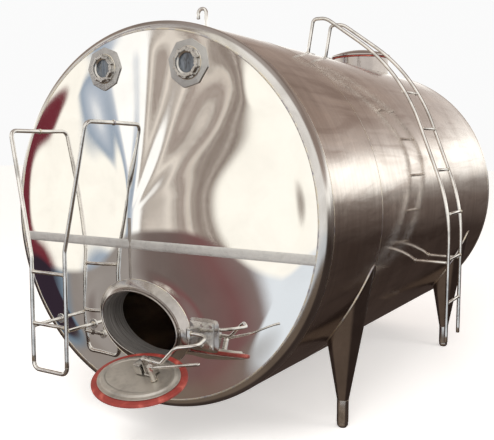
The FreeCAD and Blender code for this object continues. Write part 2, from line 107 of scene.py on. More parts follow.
# ---- mesh helpers ------------------------------------------------------------------------
def grid_faces(rows, columns, wrap_rows, wrap_columns):
    """Quads of a grid of points numbered row by row, closed on itself where asked."""
    i = np.arange(rows if wrap_rows else rows - 1)
    j = np.arange(columns if wrap_columns else columns - 1)
    i, j = np.meshgrid(i, j, indexing="ij")
    below = (i + 1) % rows
    right = (j + 1) % columns
    quads = np.stack([i * columns + j, i * columns + right,
                      below * columns + right, below * columns + j], -1)
    return quads.reshape(-1, 4)


def fan_faces(ring, centre, flip):
    """Triangles from a closed ring of point numbers to one centre point."""
    after = np.roll(ring, -1)
    middle = np.full(len(ring), centre)
    first, second = (after, ring) if flip else (ring, after)
    return np.stack([first, second, middle], -1)


def outward(verts, quads, tris):
    """Turns a closed solid's faces round if its signed volume is negative."""
    faces = [quads[:, [0, 1, 2]], quads[:, [0, 2, 3]], tris]
    corners = verts[np.concatenate(faces)]
    volume = np.einsum("ij,ij->i", corners[:, 0], np.cross(corners[:, 1], corners[:, 2])).sum()
    if volume < 0:
        quads, tris = quads[:, ::-1], tris[:, ::-1]
    return verts, quads, tris


def solid(points, wrap_rows=False):
    """Closed solid from rings of points: points[row, column], every row a closed ring.
    The first and last rows are closed by a fan to their mean, unless the rows wrap round."""
    rows, columns = points.shape[:2]
    verts = points.reshape(-1, 3)
    quads = grid_faces(rows, columns, wrap_rows, True)
    tris = np.zeros((0, 3), int)
    if not wrap_rows:
        ends = np.array([points[0].mean(0), points[-1].mean(0)])
        first = fan_faces(np.arange(columns), len(verts), True)
        last = fan_faces(np.arange(columns) + (rows - 1) * columns, len(verts) + 1, False)
        tris = np.concatenate([first, last])
        verts = np.concatenate([verts, ends])
    return outward(verts, quads, tris)


def merge(solids):
    """One set of points and faces from several closed solids."""
    verts, quads, tris, shift = [], [], [], 0
    for v, q, t in solids:
        verts.append(v)
        quads.append(q + shift)
        tris.append(t + shift)
        shift += len(v)
    return np.concatenate(verts), np.concatenate(quads), np.concatenate(tris)


def piece(name, solids, body, material, replaces=(), sharp=40.0):
    """Makes one Blender piece of closed solids, smooth but for edges sharper than an angle,
    and lets it ride on its body and stand for its CAD nodes."""
    verts, quads, tris = merge(solids)
    mesh = bpy.data.meshes.new(name)
    mesh.from_pydata(verts.tolist(), [], quads.tolist() + tris.tolist())
    mesh.polygons.foreach_set("use_smooth", np.ones(len(mesh.polygons), bool))
    mesh.set_sharp_from_angle(angle=math.radians(sharp))
    mesh.materials.append(material)
    mesh.update()
    made = bpy.data.objects.new(name, mesh)
    bpy.context.scene.collection.objects.link(made)
    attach(made, body)
    if replaces:
        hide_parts(*replaces)
    return made


def turned(centre, axis, profile, count=48, start=None):
    """Solid of revolution: a profile of (radius, height) pairs about an axis through centre."""
    profile = np.asarray(profile, float)
    axis = np.asarray(axis, float) / np.linalg.norm(axis)
    helper = np.array([0.0, 0.0, 1.0]) if abs(axis[2]) < 0.9 else np.array([1.0, 0.0, 0.0])
    side = np.cross(axis, helper) if start is None else np.asarray(start, float)
    side = side / np.linalg.norm(side)
    other = np.cross(axis, side)
    angle = np.linspace(0, 2 * math.pi, count, endpoint=False)
    rim = np.cos(angle)[:, None] * side + np.sin(angle)[:, None] * other
    points = (np.asarray(centre) + profile[:, 0, None, None] * rim[None]
              + profile[:, 1, None, None] * axis)
    return solid(points)


def turned_ring(centre, axis, profile, count=96):
    """Ring of revolution: a closed outline of (radius, height) pairs that never meets the axis."""
    profile = np.asarray(profile, float)
    axis = np.asarray(axis, float) / np.linalg.norm(axis)
    helper = np.array([0.0, 0.0, 1.0]) if abs(axis[2]) < 0.9 else np.array([1.0, 0.0, 0.0])
    side = np.cross(axis, helper)
    side = side / np.linalg.norm(side)
    other = np.cross(axis, side)
    angle = np.linspace(0, 2 * math.pi, count, endpoint=False)
    rim = np.cos(angle)[:, None] * side + np.sin(angle)[:, None] * other
    points = (np.asarray(centre) + profile[:, 0, None, None] * rim[None]
              + profile[:, 1, None, None] * axis)
    return solid(points, True)


def arc_points(centre, radius, first, last, count):
    """Points (a, b) of an arc between two angles in degrees."""
    angle = np.radians(np.linspace(first, last, count))
    return np.stack([centre[0] + radius * np.cos(angle), centre[1] + radius * np.sin(angle)], -1)


def rounded_path(corners, bends, step=0.012):
    """Centreline of straight runs joined by tangent arcs, one bend radius for each corner.
    An arc is centre + (start - centre) cos t + (tangent) sin t, sampled every few millimetres."""
    corners = [np.asarray(c, float) for c in corners]
    runs = []
    start = corners[0]
    for corner, before, after, bend in zip(corners[1:-1], corners[:-2], corners[2:], bends):
        into = (corner - before) / np.linalg.norm(corner - before)
        out = (after - corner) / np.linalg.norm(after - corner)
        turn = math.acos(float(np.clip(into @ out, -1, 1)))
        reach = bend * math.tan(turn / 2)
        first, last = corner - into * reach, corner + out * reach
        parts = max(2, int(np.linalg.norm(first - start) / 0.05) + 1)
        runs.append(start + (first - start) * np.linspace(0, 1, parts, endpoint=False)[:, None])
        inward = (out - into) / np.linalg.norm(out - into)
        centre = corner + inward * bend / math.cos(turn / 2)
        spoke = first - centre
        t = np.linspace(0, turn, max(6, int(bend * turn / step)), endpoint=False)[:, None]
        runs.append(centre + spoke * np.cos(t) + into * bend * np.sin(t))
        start = last
    parts = max(2, int(np.linalg.norm(corners[-1] - start) / 0.05) + 1)
    runs.append(start + (corners[-1] - start) * np.linspace(0, 1, parts)[:, None])
    return np.concatenate(runs)


def along_path(path, radii, sides=18, flat=1.0, up=None):
    """Tube on a path: a circle of the given radius at each point, in the plane across the path.
    The circle's first direction is carried from point to point with the least turning."""
    tangent = np.gradient(path, axis=0)
    tangent /= np.linalg.norm(tangent, axis=1)[:, None]
    if up is None:
        seed = np.eye(3)[np.argmin(np.abs(tangent[0]))]
        carried = [np.cross(tangent[0], seed)]
        for t in tangent[1:]:
            carried.append(carried[-1] - t * (carried[-1] @ t))
            carried[-1] /= np.linalg.norm(carried[-1])
        side = np.array(carried)
        side[0] /= np.linalg.norm(side[0])
    else:
        side = np.broadcast_to(np.asarray(up, float), path.shape)
        side = side - tangent * np.einsum("ij,ij->i", side, tangent)[:, None]
        side /= np.linalg.norm(side, axis=1)[:, None]
    other = np.cross(tangent, side)
    angle = np.linspace(0, 2 * math.pi, sides, endpoint=False)
    radii = np.broadcast_to(np.asarray(radii, float), (len(path),))[:, None, None]
    rings = (path[:, None] + radii * (np.cos(angle)[None, :, None] * side[:, None] * flat
                                      + np.sin(angle)[None, :, None] * other[:, None]))
    return solid(rings)


def tube(corners, bends, radius, sides=18):
    """Round tube with softly rounded ends along straight runs and tangent arcs."""
    path = rounded_path(corners, bends)
    ends = []
    for point, after in ((path[0], path[1]), (path[-1], path[-2])):
        away = (point - after) / np.linalg.norm(point - after)
        ends.append((point, away))
    soft = radius * np.array([0.30, 0.0])
    head = np.array([ends[0][0] - ends[0][1] * s for s in (0.0, radius * 0.12, soft[0])])
    tail = np.array([ends[1][0] - ends[1][1] * s for s in (soft[0], radius * 0.12, 0.0)])
    middle = path[1:-1]
    keep = (np.linalg.norm(middle - path[0], axis=1) > soft[0] * 1.2) & (
        np.linalg.norm(middle - path[-1], axis=1) > soft[0] * 1.2)
    line = np.concatenate([head, middle[keep], tail])
    radii = np.full(len(line), radius)
    radii[[0, -1]] = radius * 0.72
    radii[[1, -2]] = radius * 0.92
    return along_path(line, radii, sides)


def straight(start, end, radius, sides=18):
    """Round bar between two points, with softly rounded ends."""
    start, end = np.asarray(start, float), np.asarray(end, float)
    length = np.linalg.norm(end - start)
    soft = min(radius * 0.3, length / 3)
    profile = [(radius * 0.75, 0), (radius * 0.94, soft * 0.3), (radius, soft),
               (radius, length - soft), (radius * 0.94, length - soft * 0.3), (radius * 0.75, length)]
    return turned(start, end - start, profile, sides)


def weld_bead(path, radius, pitch=0.006, closed=False, seed=0):
    """Weld bead: a small tube whose radius swells at each ripple of the weld pool.
    Radius = r (1 + 0.16 |sin(pi s / pitch)| + slow unevenness), with s the way along the path."""
    path = np.asarray(path, float)
    if closed:
        path = np.concatenate([path, path[:1]])
    step = np.linalg.norm(np.diff(path, axis=0), axis=1)
    way = np.concatenate([[0], np.cumsum(step)])
    count = max(12, int(way[-1] / pitch * 3))
    s = np.linspace(0, way[-1], count, endpoint=not closed)
    line = np.stack([np.interp(s, way, path[:, k]) for k in range(3)], -1)
    phase = seed * 1.7
    slow = 0.10 * np.sin(s * 37 + phase) + 0.07 * np.sin(s * 83 + 2 * phase)
    radii = radius * (0.9 + 0.16 * np.abs(np.sin(math.pi * s / pitch)) + slow)
    if not closed:
        return along_path(line, radii, 6)
    tangent = np.roll(line, -1, 0) - np.roll(line, 1, 0)
    tangent /= np.linalg.norm(tangent, axis=1)[:, None]
    mean = np.cross(line - line.mean(0), np.roll(line, -1, 0) - line.mean(0)).sum(0)
    mean /= np.linalg.norm(mean)
    side = np.broadcast_to(mean, line.shape) - tangent * (tangent @ mean)[:, None]
    side /= np.linalg.norm(side, axis=1)[:, None]
    other = np.cross(tangent, side)
    angle = np.linspace(0, 2 * math.pi, 6, endpoint=False)
    rings = line[:, None] + radii[:, None, None] * (
        np.cos(angle)[None, :, None] * side[:, None] + np.sin(angle)[None, :, None] * other[:, None])
    return solid(rings, True)


def circle(centre, first, second, radius, count=160):
    """Points of a circle, or of an ellipse if the two directions differ in length."""
    angle = np.linspace(0, 2 * math.pi, count, endpoint=False)[:, None]
    return np.asarray(centre) + radius * (np.cos(angle) * first + np.sin(angle) * second)


def block(centre, first, second, third, size, radius=0.003):
    """Box with rounded edges: a rounded rectangle carried up the third direction, drawn in
    towards its middle by a quarter round at both ends."""
    half = np.asarray(size, float) / 2
    radius = min(radius, *(half * 0.9))
    corner = arc_points((0, 0), radius, 0, 90, 5)
    spread = np.array([half[0] - radius, half[1] - radius])
    quarters = []
    for turn, sx, sy in ((0, 1, 1), (90, -1, 1), (180, -1, -1), (270, 1, -1)):
        c, s = math.cos(math.radians(turn)), math.sin(math.radians(turn))
        turned_corner = corner @ np.array([[c, s], [-s, c]])
        quarters.append(turned_corner + spread * (sx, sy))
    outline = np.concatenate(quarters)
    rows = []
    ease = np.radians(np.linspace(0, 90, 4))
    for sign in (-1, 1):
        steps = ease if sign < 0 else ease[::-1]
        for t in steps:
            inset = radius * (1 - math.sin(t))
            scale = (half[:2] - inset) / half[:2]
            height = sign * (half[2] - radius * (1 - math.cos(t)))
            flat = outline * scale
            rows.append(np.asarray(centre) + flat[:, :1] * first + flat[:, 1:] * second
                        + height * np.asarray(third))
    return solid(np.array(rows))


def hexagon(centre, axis, across, height):
    """Hexagon nut or head: six flats with a turned chamfer at its outer face."""
    axis = np.asarray(axis, float) / np.linalg.norm(axis)
    helper = np.array([0.0, 0.0, 1.0]) if abs(axis[2]) < 0.9 else np.array([1.0, 0.0, 0.0])
    side = np.cross(axis, helper)
    side /= np.linalg.norm(side)
    other = np.cross(axis, side)
    angle = np.radians(np.arange(36) * 10.0)
    flats = across / 2 / np.cos((np.degrees(angle) % 60 - 30) * math.pi / 180)
    rows = []
    for height_share, share in ((0, 1), (0.86, 1), (1, 0.93)):
        radius = np.minimum(flats, across / 2 * 1.155 * share if share < 1 else 9)
        rows.append(np.asarray(centre) + radius[:, None] * (
            np.cos(angle)[:, None] * side + np.sin(angle)[:, None] * other)
            + axis * height * height_share)
    return solid(np.array(rows))


def oval_rings(sections, centre, first, second, third, half_long, half_short, count=160):
    """Rings of an oval grown by g and lifted by h, for each (g, h) of a section."""
    angle = np.linspace(0, 2 * math.pi, count, endpoint=False)
    section = np.asarray(sections, float)
    grow, lift = section[:, 0, None, None], section[:, 1, None, None]
    return (np.asarray(centre) + (half_long + grow) * np.cos(angle)[None, :, None] * first
            + (half_short + grow) * np.sin(angle)[None, :, None] * second
            + lift * np.asarray(third))


X_AXIS, Y_AXIS, Z_AXIS = np.eye(3)
OVAL_LONG = np.array([math.cos(MANWAY_TURN), 0.0, math.sin(MANWAY_TURN)])
OVAL_SHORT = np.array([-math.sin(MANWAY_TURN), 0.0, math.cos(MANWAY_TURN)])


# ---- materials -----------------------------------------------------------------------------
class Paint:
    """Adds shader nodes to one material and links them by name."""

    def __init__(self, name, metallic, roughness, **constants):
        self.material = bpy.data.materials.new(name)
        self.material.use_nodes = True
        self.tree = self.material.node_tree
        self.shader = self.tree.nodes["Principled BSDF"]
        self.shader.inputs["Metallic"].default_value = metallic
        self.shader.inputs["Roughness"].default_value = roughness
        for socket, value in constants.items():
            self.shader.inputs[socket.replace("_", " ")].default_value = value

    def node(self, kind, links=(), **settings):
        """Adds a node, sets its properties and links or sets its inputs by number or name."""
        made = self.tree.nodes.new(kind)
        for key, value in settings.items():
            setattr(made, key, value)
        for socket, value in dict(links).items():
            if isinstance(value, bpy.types.NodeSocket):
                self.tree.links.new(value, made.inputs[socket])
            else:
                made.inputs[socket].default_value = value
        return made

    def place(self, scale=(1, 1, 1), centre=(0, 0, 0)):
        """Object coordinates, measured from a centre and scaled."""
        coordinates = self.node("ShaderNodeTexCoord").outputs["Object"]
        shifted = self.node("ShaderNodeVectorMath", {0: coordinates, 1: tuple(-c for c in centre)},
                            operation="ADD").outputs[0]
        return self.node("ShaderNodeVectorMath", {0: shifted, 1: scale},
                         operation="MULTIPLY").outputs[0]

    def split(self, vector):
        """The x, y and z of a vector."""
        return self.node("ShaderNodeSeparateXYZ", {0: vector}).outputs

    def join(self, x, y, z):
        """A vector from three values."""
        return self.node("ShaderNodeCombineXYZ", {0: x, 1: y, 2: z}).outputs[0]

    def calc(self, operation, a, b=0.0, clamp=False):
        """One arithmetic step."""
        return self.node("ShaderNodeMath", {0: a, 1: b}, operation=operation,
                         use_clamp=clamp).outputs[0]

    def fade(self, value, low, high):
        """0 below low, 1 above high, eased between."""
        return self.node("ShaderNodeMapRange", {0: value, 1: low, 2: high},
                         interpolation_type="SMOOTHSTEP").outputs[0]

    def noise(self, vector, scale, detail=3.0, rough=0.5, twist=0.0):
        """Noise value at a vector."""
        return self.node("ShaderNodeTexNoise", {"Vector": vector, "Scale": scale, "Detail": detail,
                                                "Roughness": rough, "Distortion": twist}).outputs[0]

    def ramp(self, value, *stops):
        """Colour ramp of (place, colour) stops."""
        ramp = self.node("ShaderNodeValToRGB", {0: value})
        elements = ramp.color_ramp.elements
        while len(elements) < len(stops):
            elements.new(0.5)
        for element, (place, colour) in zip(elements, stops):
            element.position = place
            element.color = (*colour, 1)
        return ramp.outputs[0]

    def mix(self, share, a, b, blend="MIX"):
        """Mixes two colours."""
        made = self.tree.nodes.new("ShaderNodeMix")
        made.data_type = "RGBA"
        made.blend_type = blend
        for socket, value in ((made.inputs[0], share), (made.inputs[6], a), (made.inputs[7], b)):
            if isinstance(value, bpy.types.NodeSocket):
                self.tree.links.new(value, socket)
            else:
                socket.default_value = value if isinstance(value, float) else (*value, 1)
        return made.outputs[2]

    def range(self, value, low, high):
        """A 0 to 1 value spread between low and high."""
        return self.node("ShaderNodeMapRange", {0: value, 3: low, 4: high}).outputs[0]

    def bump(self, height, distance, below=None, strength=1.0):
        """Bump of a height in metres, over another bump."""
        links = {"Height": height, "Distance": distance, "Strength": strength}
        if below is not None:
            links["Normal"] = below
        return self.node("ShaderNodeBump", links).outputs[0]

    def finish(self, colour=None, roughness=None, normal=None):
        """Links the surface's colour, roughness and normal, and gives back the material."""
        for socket, value in (("Base Color", colour), ("Roughness", roughness), ("Normal", normal)):
            if value is not None:
                self.tree.links.new(value, self.shader.inputs[socket])
        return self.material


def round_place(paint):
    """Way round the shell, way along it and radius, in metres, from object coordinates."""
    x, y, z = paint.split(paint.place(centre=ORIGIN))[:3]
    angle = paint.calc("ARCTAN2", x, z)
    way = paint.calc("MULTIPLY", angle, float(SHELL_R))
    return way, y, z, angle


def shell_steel(tone):
    """Brushed sheet of the shell: fine lines round the tank, slow cloudy stains, long smears
    along it, and a painted shade that darkens the sheet towards the belly."""
    paint = Paint("brushed_shell", 1.0, 0.2)
    way, y, z = round_place(paint)[:3]
    lines = paint.noise(paint.join(paint.calc("MULTIPLY", way, 1.3), paint.calc("MULTIPLY", y, 260.0),
                                   0.0), 1.0, 4.0, 0.65)
    wide = paint.noise(paint.join(paint.calc("MULTIPLY", way, 0.7), paint.calc("MULTIPLY", y, 26.0),
                                  3.0), 1.0, 3.0, 0.6)
    clouds = paint.noise(paint.place((1, 1, 1)), 2.3, 4.0, 0.55, 0.6)
    smears = paint.noise(paint.join(paint.calc("MULTIPLY", way, 9.0), paint.calc("MULTIPLY", y, 1.1),
                                    7.0), 1.0, 3.0, 0.6, 0.6)
    scratch = paint.fade(smears, 0.62, 0.70)
    sheet = paint.ramp(wide, (0.25, tuple(c * 0.86 for c in tone)), (0.55, tone),
                       (0.85, tuple(min(1, c * 1.10) for c in tone)))
    dirt = paint.ramp(clouds, (0.30, (0.62, 0.56, 0.52)), (0.62, (1.0, 0.99, 0.98)))
    sheet = paint.mix(0.65, sheet, dirt, "MULTIPLY")
    streak = paint.ramp(smears, (0.34, (0.66, 0.60, 0.57)), (0.50, (1.0, 1.0, 1.0)),
                        (0.66, (1.12, 1.10, 1.08)))
    sheet = paint.mix(0.75, sheet, streak, "MULTIPLY")
    # painted shade: the sheet is darkened by height towards the bottom, standing for the dark ground the
    # belly mirrors
    painted_belly_shade = paint.fade(z, 0.10, -0.95)
    sheet = paint.mix(painted_belly_shade, sheet, paint.mix(1.0, sheet, (0.80, 0.75, 0.71), "MULTIPLY"))
    rough = paint.calc("ADD", paint.range(lines, 0.05, 0.17),
                       paint.calc("MULTIPLY", scratch, 0.07))
    normal = paint.bump(lines, 0.00011)
    normal = paint.bump(clouds, 0.004, normal, 0.35)
    return paint.finish(sheet, rough, normal)


def head_steel(tone):
    """Mirror-polished head sheet: one steel tone with a faint haze and fine upright hairlines.
    Its streaks are reflections of the surroundings, bent by the waves of the sheet."""
    paint = Paint("polished_head", 1.0, 0.05)
    place = paint.place(centre=ORIGIN)
    x, _, z = paint.split(place)[:3]
    haze = paint.noise(place, 4.0, 3.0, 0.55, 0.4)
    hair = paint.noise(paint.join(paint.calc("MULTIPLY", x, 500.0), paint.calc("MULTIPLY", z, 30.0), 0.0),
                       1.0, 2.0)
    colour = paint.ramp(haze, (0.32, tuple(c * 0.93 for c in tone)), (0.60, tone))
    rough = paint.calc("ADD", paint.range(haze, 0.005, 0.035), paint.calc("MULTIPLY", hair, 0.012))
    return paint.finish(colour, rough, paint.bump(hair, 0.00001))


def plain_steel(name, tone, low, high, stretch=(40, 40, 40), grain=0.0002, stain=0.4):
    """Steel fitting: slow stains in the tone, grain in the roughness and a fine bump."""
    paint = Paint(name, 1.0, (low + high) / 2)
    grain_value = paint.noise(paint.place(stretch), 6.0, 4.0, 0.6)
    clouds = paint.noise(paint.place((1, 1, 1)), 9.0, 4.0, 0.6, 0.4)
    colour = paint.ramp(clouds, (0.30, tuple(c * (1 - stain) for c in tone)), (0.52, tone),
                        (0.75, tuple(min(1.0, c * 1.12) for c in tone)))
    return paint.finish(colour, paint.range(grain_value, low, high), paint.bump(grain_value, grain))


def rear_steel(tone):
    """Rear head: sheet brushed up and down, half dulled by handling."""
    paint = Paint("brushed_rear", 0.65, 0.3)
    x, _, z = paint.split(paint.place(centre=ORIGIN))[:3]
    brushed = paint.noise(paint.join(paint.calc("MULTIPLY", x, 160.0), paint.calc("MULTIPLY", z, 1.5),
                                     0.0), 1.0, 3.0, 0.6)
    broad = paint.noise(paint.join(paint.calc("MULTIPLY", x, 5.0), paint.calc("MULTIPLY", z, 0.8), 4.0),
                        1.0, 3.0, 0.55, 0.5)
    sheet = paint.ramp(broad, (0.30, tuple(c * 0.55 for c in tone)), (0.52, tone),
                       (0.72, tuple(min(1.0, c * 1.25) for c in tone)))
    return paint.finish(sheet, paint.range(brushed, 0.16, 0.34), paint.bump(brushed, 0.00015))


def rim_steel(tone):
    """Polished knuckle: fine brushing round the rim with slow, cloudy dull patches."""
    paint = Paint("polished_rim", 1.0, 0.15)
    way, y = round_place(paint)[:2]
    brushed = paint.noise(paint.join(paint.calc("MULTIPLY", way, 5.0), paint.calc("MULTIPLY", y, 300.0),
                                     1.0), 1.0, 3.0, 0.6)
    clouds = paint.noise(paint.join(paint.calc("MULTIPLY", way, 3.0), paint.calc("MULTIPLY", y, 20.0),
                                    5.0), 1.0, 3.0, 0.55, 0.5)
    patch = paint.ramp(clouds, (0.32, (0.66, 0.64, 0.62)), (0.60, (1.05, 1.05, 1.05)))
    sheet = paint.mix(0.7, tone, patch, "MULTIPLY")
    return paint.finish(sheet, paint.range(brushed, 0.08, 0.24), paint.bump(brushed, 0.00012))


def bore_steel(tone):
    """Turned bore of the manway: fine rings round the wall in a tone kept dark as painted shade of the
    recess, sheen and bump.
    """
    paint = Paint("turned_bore", 0.70, 0.30)
    x, y, z = paint.split(paint.place(centre=ORIGIN))[:3]
    rings = paint.noise(paint.join(paint.calc("MULTIPLY", x, 5.0), paint.calc("MULTIPLY", y, 420.0),
                                   paint.calc("MULTIPLY", z, 5.0)), 1.0, 2.0, 0.6)
    strokes = paint.ramp(rings, (0.40, (0.30, 0.29, 0.28)), (0.58, (1.0, 1.0, 1.0)))
    sheet = paint.mix(0.9, tone, strokes, "MULTIPLY")
    return paint.finish(sheet, paint.range(rings, 0.26, 0.46), paint.bump(rings, 0.0003))


def ground_steel(name, tone, spacing=150.0):
    """Sheet dressed with a flap disc: short crossed scratches and a frosted, uneven sheen."""
    paint = Paint(name, 1.0, 0.38)
    place = paint.place((1, 1, 1))
    waves = []
    for turn, shift in ((0.5, 0.0), (-0.9, 3.1), (1.9, 7.7)):
        rotated = paint.node("ShaderNodeVectorRotate", {"Vector": place, "Angle": turn},
                             rotation_type="Y_AXIS").outputs[0]
        stretched = paint.node("ShaderNodeVectorMath", {0: rotated, 1: (spacing * 4, 40.0, spacing * 0.3)},
                               operation="MULTIPLY").outputs[0]
        moved = paint.node("ShaderNodeVectorMath", {0: stretched, 1: (shift, shift, shift)},
                           operation="ADD").outputs[0]
        waves.append(paint.noise(moved, 1.0, 2.0, 0.6))
    scratch = paint.calc("MAXIMUM", paint.calc("MAXIMUM", waves[0], waves[1]), waves[2])
    patch = paint.noise(place, 24.0, 3.0, 0.6, 0.5)
    colour = paint.ramp(patch, (0.32, tuple(c * 0.90 for c in tone)), (0.50, tone),
                        (0.70, tuple(min(1.0, c * 1.05) for c in tone)))
    rough = paint.calc("ADD", paint.range(patch, 0.18, 0.34), paint.calc("MULTIPLY", scratch, 0.10))
    return paint.finish(colour, rough, paint.bump(scratch, 0.0006, paint.bump(patch, 0.002, None, 0.5)))


def bead_steel(tone):
    """Weld bead: bright ripples with straw and blue heat tints in patches."""
    paint = Paint("weld_bead", 1.0, 0.3)
    place = paint.place((1, 1, 1))
    tint = paint.noise(place, 14.0, 3.0, 0.6)
    colour = paint.ramp(tint, (0.34, (0.42, 0.40, 0.44)), (0.46, tone), (0.56, (0.78, 0.70, 0.56)),
                        (0.68, tone))
    speck = paint.noise(place, 260.0, 2.0)
    return paint.finish(colour, paint.range(speck, 0.22, 0.42), paint.bump(speck, 0.0006))


def red_rubber(tone):
    """Food-grade silicone: matt red, with dustier patches and fine moulding specks."""
    paint = Paint("red_silicone", 0.0, 0.5, Specular_IOR_Level=0.4)
    place = paint.place((1, 1, 1))
    clouds = paint.noise(place, 11.0, 4.0, 0.6, 0.5)
    specks = paint.noise(place, 320.0, 2.0)
    colour = paint.ramp(clouds, (0.30, tuple(c * 0.72 for c in tone)), (0.52, tone),
                        (0.74, (0.50, 0.14, 0.105)))
    return paint.finish(colour, paint.range(clouds, 0.40, 0.62), paint.bump(specks, 0.0004))


def sight_glass_paint():
    """Sight glass as an opaque disc, nearly black with a blue cast: painted shade of the unlit tank behind
    the glass, with wipe marks.
    """
    paint = Paint("sight_glass_painted_shade", 0.0, 0.08, Specular_IOR_Level=0.7, Coat_Weight=0.6,
                  Coat_Roughness=0.04)
    wipe = paint.noise(paint.place((30, 30, 9)), 2.0, 3.0, 0.6, 0.8)
    # painted shade: the near-black colour stands for the dark inside of the tank seen through the glass
    colour = paint.ramp(wipe, (0.35, (0.030, 0.034, 0.040)), (0.65, (0.085, 0.10, 0.12)))
    return paint.finish(colour, paint.range(wipe, 0.05, 0.16))


def floor_paint(tone):
    """Pale studio floor: a hardly visible mottling."""
    paint = Paint("pale_floor", 0.0, 0.8)
    clouds = paint.noise(paint.place((1, 1, 1)), 0.8, 3.0, 0.5)
    paint.shader.inputs["Emission Color"].default_value = (1.0, 0.99, 0.98, 1.0)
    paint.shader.inputs["Emission Strength"].default_value = 0.42
    return paint.finish(paint.ramp(clouds, (0.3, tuple(c * 0.985 for c in tone)), (0.7, tone)))


# ---- sheets and their waves ------------------------------------------------------------------
def eased(value, low, high):
    """0 below low, 1 above high, eased between by 3 t^2 - 2 t^3."""
    t = np.clip((value - low) / (high - low), 0, 1)
    return t * t * (3 - 2 * t)


def head_wave(x, z, height):
    """Depth of the front sheet behind its plane. A swell sin(4.2 (x - 0.5)) cos(4.8 (z - 0.1))
    bends it slowly, flatter towards the top; a bell-shaped pinch stands where the sheet was
    pulled tight, and ripples sin(18 angle) fan out upwards from there, higher with distance.
    All fade out at the rim and round the manway's collar."""
    dx, dz = x - FAN[0], z - FAN[1]
    away = np.hypot(dx, dz)
    angle = np.arctan2(dx, dz)
    ripple = 0.26 * away * np.sin(18 * angle + 2 * away) * np.exp(-((angle - 0.25) / 0.6) ** 2)
    swell = 1.2 * np.sin(4.2 * (x - 0.5)) * np.cos(4.8 * (z - 0.1)) * (1 - 0.6 * eased(z, 0.2, 0.8))
    pinch = -1.0 * np.exp(-(dx / 0.15) ** 2 - (dz / 0.30) ** 2)
    dents = sum(np.exp(-((x - sx) / 0.16) ** 2 - ((z - sz + 0.24) / 0.25) ** 2) for sx, sz, _ in SIGHTS)
    edge = eased(FLAT_R - np.hypot(x, z), 0.0, 0.16)
    ox, oz = x - MANWAY[0], z - MANWAY[2]
    reach = np.hypot((ox * OVAL_LONG[0] + oz * OVAL_LONG[2]) / MANWAY_A,
                     (ox * OVAL_SHORT[0] + oz * OVAL_SHORT[2]) / MANWAY_B)
    return 0.0006 + height * (ripple + swell + pinch + 0.3 * dents) * edge * eased(reach, 1.15, 1.7)


def front_head_surface(height, rows=150, columns=520):
    """Front sheet between the manway's oval and the knuckle. Each ray from the oval's centre
    meets the circle of the flat part at c + t d with |c + t d| = R; rows divide the ray evenly.
    The sheet's back runs along the same rays, a wall behind."""
    angle = np.linspace(0, 2 * math.pi, columns, endpoint=False)[:, None]
    grow = FLARE - 0.006
    inner = ((MANWAY_A + grow) * np.cos(angle) * OVAL_LONG
             + (MANWAY_B + grow) * np.sin(angle) * OVAL_SHORT)
    ray = inner / np.linalg.norm(inner, axis=1)[:, None]
    centre = MANWAY
    along = ray @ centre
    reach = -along + np.sqrt(along ** 2 - centre @ centre + FLAT_R ** 2)
    start = np.linalg.norm(inner, axis=1)
    share = np.linspace(0, 1, rows)[:, None]
    distance = start + (reach - start) * share
    plane = centre + distance[:, :, None] * ray[None]
    front = plane + head_wave(plane[..., 0], plane[..., 2], height)[..., None] * Y_AXIS
    back = plane[[-1, 0]] + WALL * Y_AXIS
    return solid(ORIGIN + np.concatenate([front, back]), True)


def disc_surface(height, rows=70, columns=240):
    """Rear sheet: a disc whose face waves slowly in and out, and its flat inner side."""
    angle = np.linspace(0, 2 * math.pi, columns, endpoint=False)
    radius = np.linspace(0.02, FLAT_R, rows)[:, None]
    x, z = radius * np.cos(angle), radius * np.sin(angle)
    wave = np.sin(5.0 * x + 1.2 * np.sin(3 * z)) * np.cos(4.1 * z) + 0.6 * np.sin(7.3 * z + 1.0 + 2 * x)
    depth = height * (1 + wave) * eased(FLAT_R - np.hypot(x, z), 0.0, 0.2)
    face = np.stack([x, LENGTH - 0.0006 - depth, z], -1)
    inside = face[[-1, 0]].copy()
    inside[..., 1] = LENGTH - WALL
    return solid(ORIGIN + np.concatenate([face, inside]))


def strip(stations, across, half_width, height):
    """Ground weld over the front sheet: at each station a low crown 1 - (w / half)^4 across it."""
    stations = np.asarray(stations, float)
    share = np.linspace(-1, 1, 11)
    spot = stations[:, None] + half_width * share[None, :, None] * np.asarray(across)
    depth = head_wave(spot[..., 0], spot[..., 1], height) - 0.0009 * (1 - share ** 4) - 0.0001
    front = np.stack([spot[..., 0], depth, spot[..., 1]], -1)
    back = front[:, [-1, 0]] + 0.004 * Y_AXIS
    return solid(ORIGIN + np.concatenate([front, back], 1))


def strake_surface(low, high, height, columns=360):
    """Rolled plate all round the tank. Its radius falls short of the true circle by slow flats
    along it and by faint rings where it was pressed round the tank inside."""
    rows = int((high - low) / 0.03)
    y = np.linspace(low, high, rows)[:, None]
    angle = np.linspace(0, 2 * math.pi, columns, endpoint=False)
    flats = 0.5 + 0.5 * np.sin(2 * math.pi * y / 0.86 + 0.7 + 1.1 * np.sin(2 * angle))
    rings = 0.5 + 0.5 * np.sin(5 * angle + 3.0 * y) * np.cos(3.1 * y + 2 * angle)
    short = height * (0.6 * flats + 0.8 * rings) * eased(np.minimum(y - low, high - y), 0, 0.12)
    radius = SHELL_R - 0.0009 - short
    outside = np.stack([radius * np.sin(angle), y + 0 * radius, radius * np.cos(angle)], -1)
    inside = outside[[-1, 0]] * ((SHELL_R - WALL) / SHELL_R, 1, (SHELL_R - WALL) / SHELL_R)
    return solid(ORIGIN + np.concatenate([outside, inside]), True)


def ring_bead(y, radius, half_width, proud, columns=300):
    """Flattened bead round the tank: an ellipse carried about the tank's axis."""
    angle = np.linspace(0, 2 * math.pi, 10, endpoint=False)
    outline = np.stack([radius - proud + proud * np.cos(angle), half_width * np.sin(angle)], -1)
    return turned_ring(tank(0, y, 0), Y_AXIS, outline, columns)


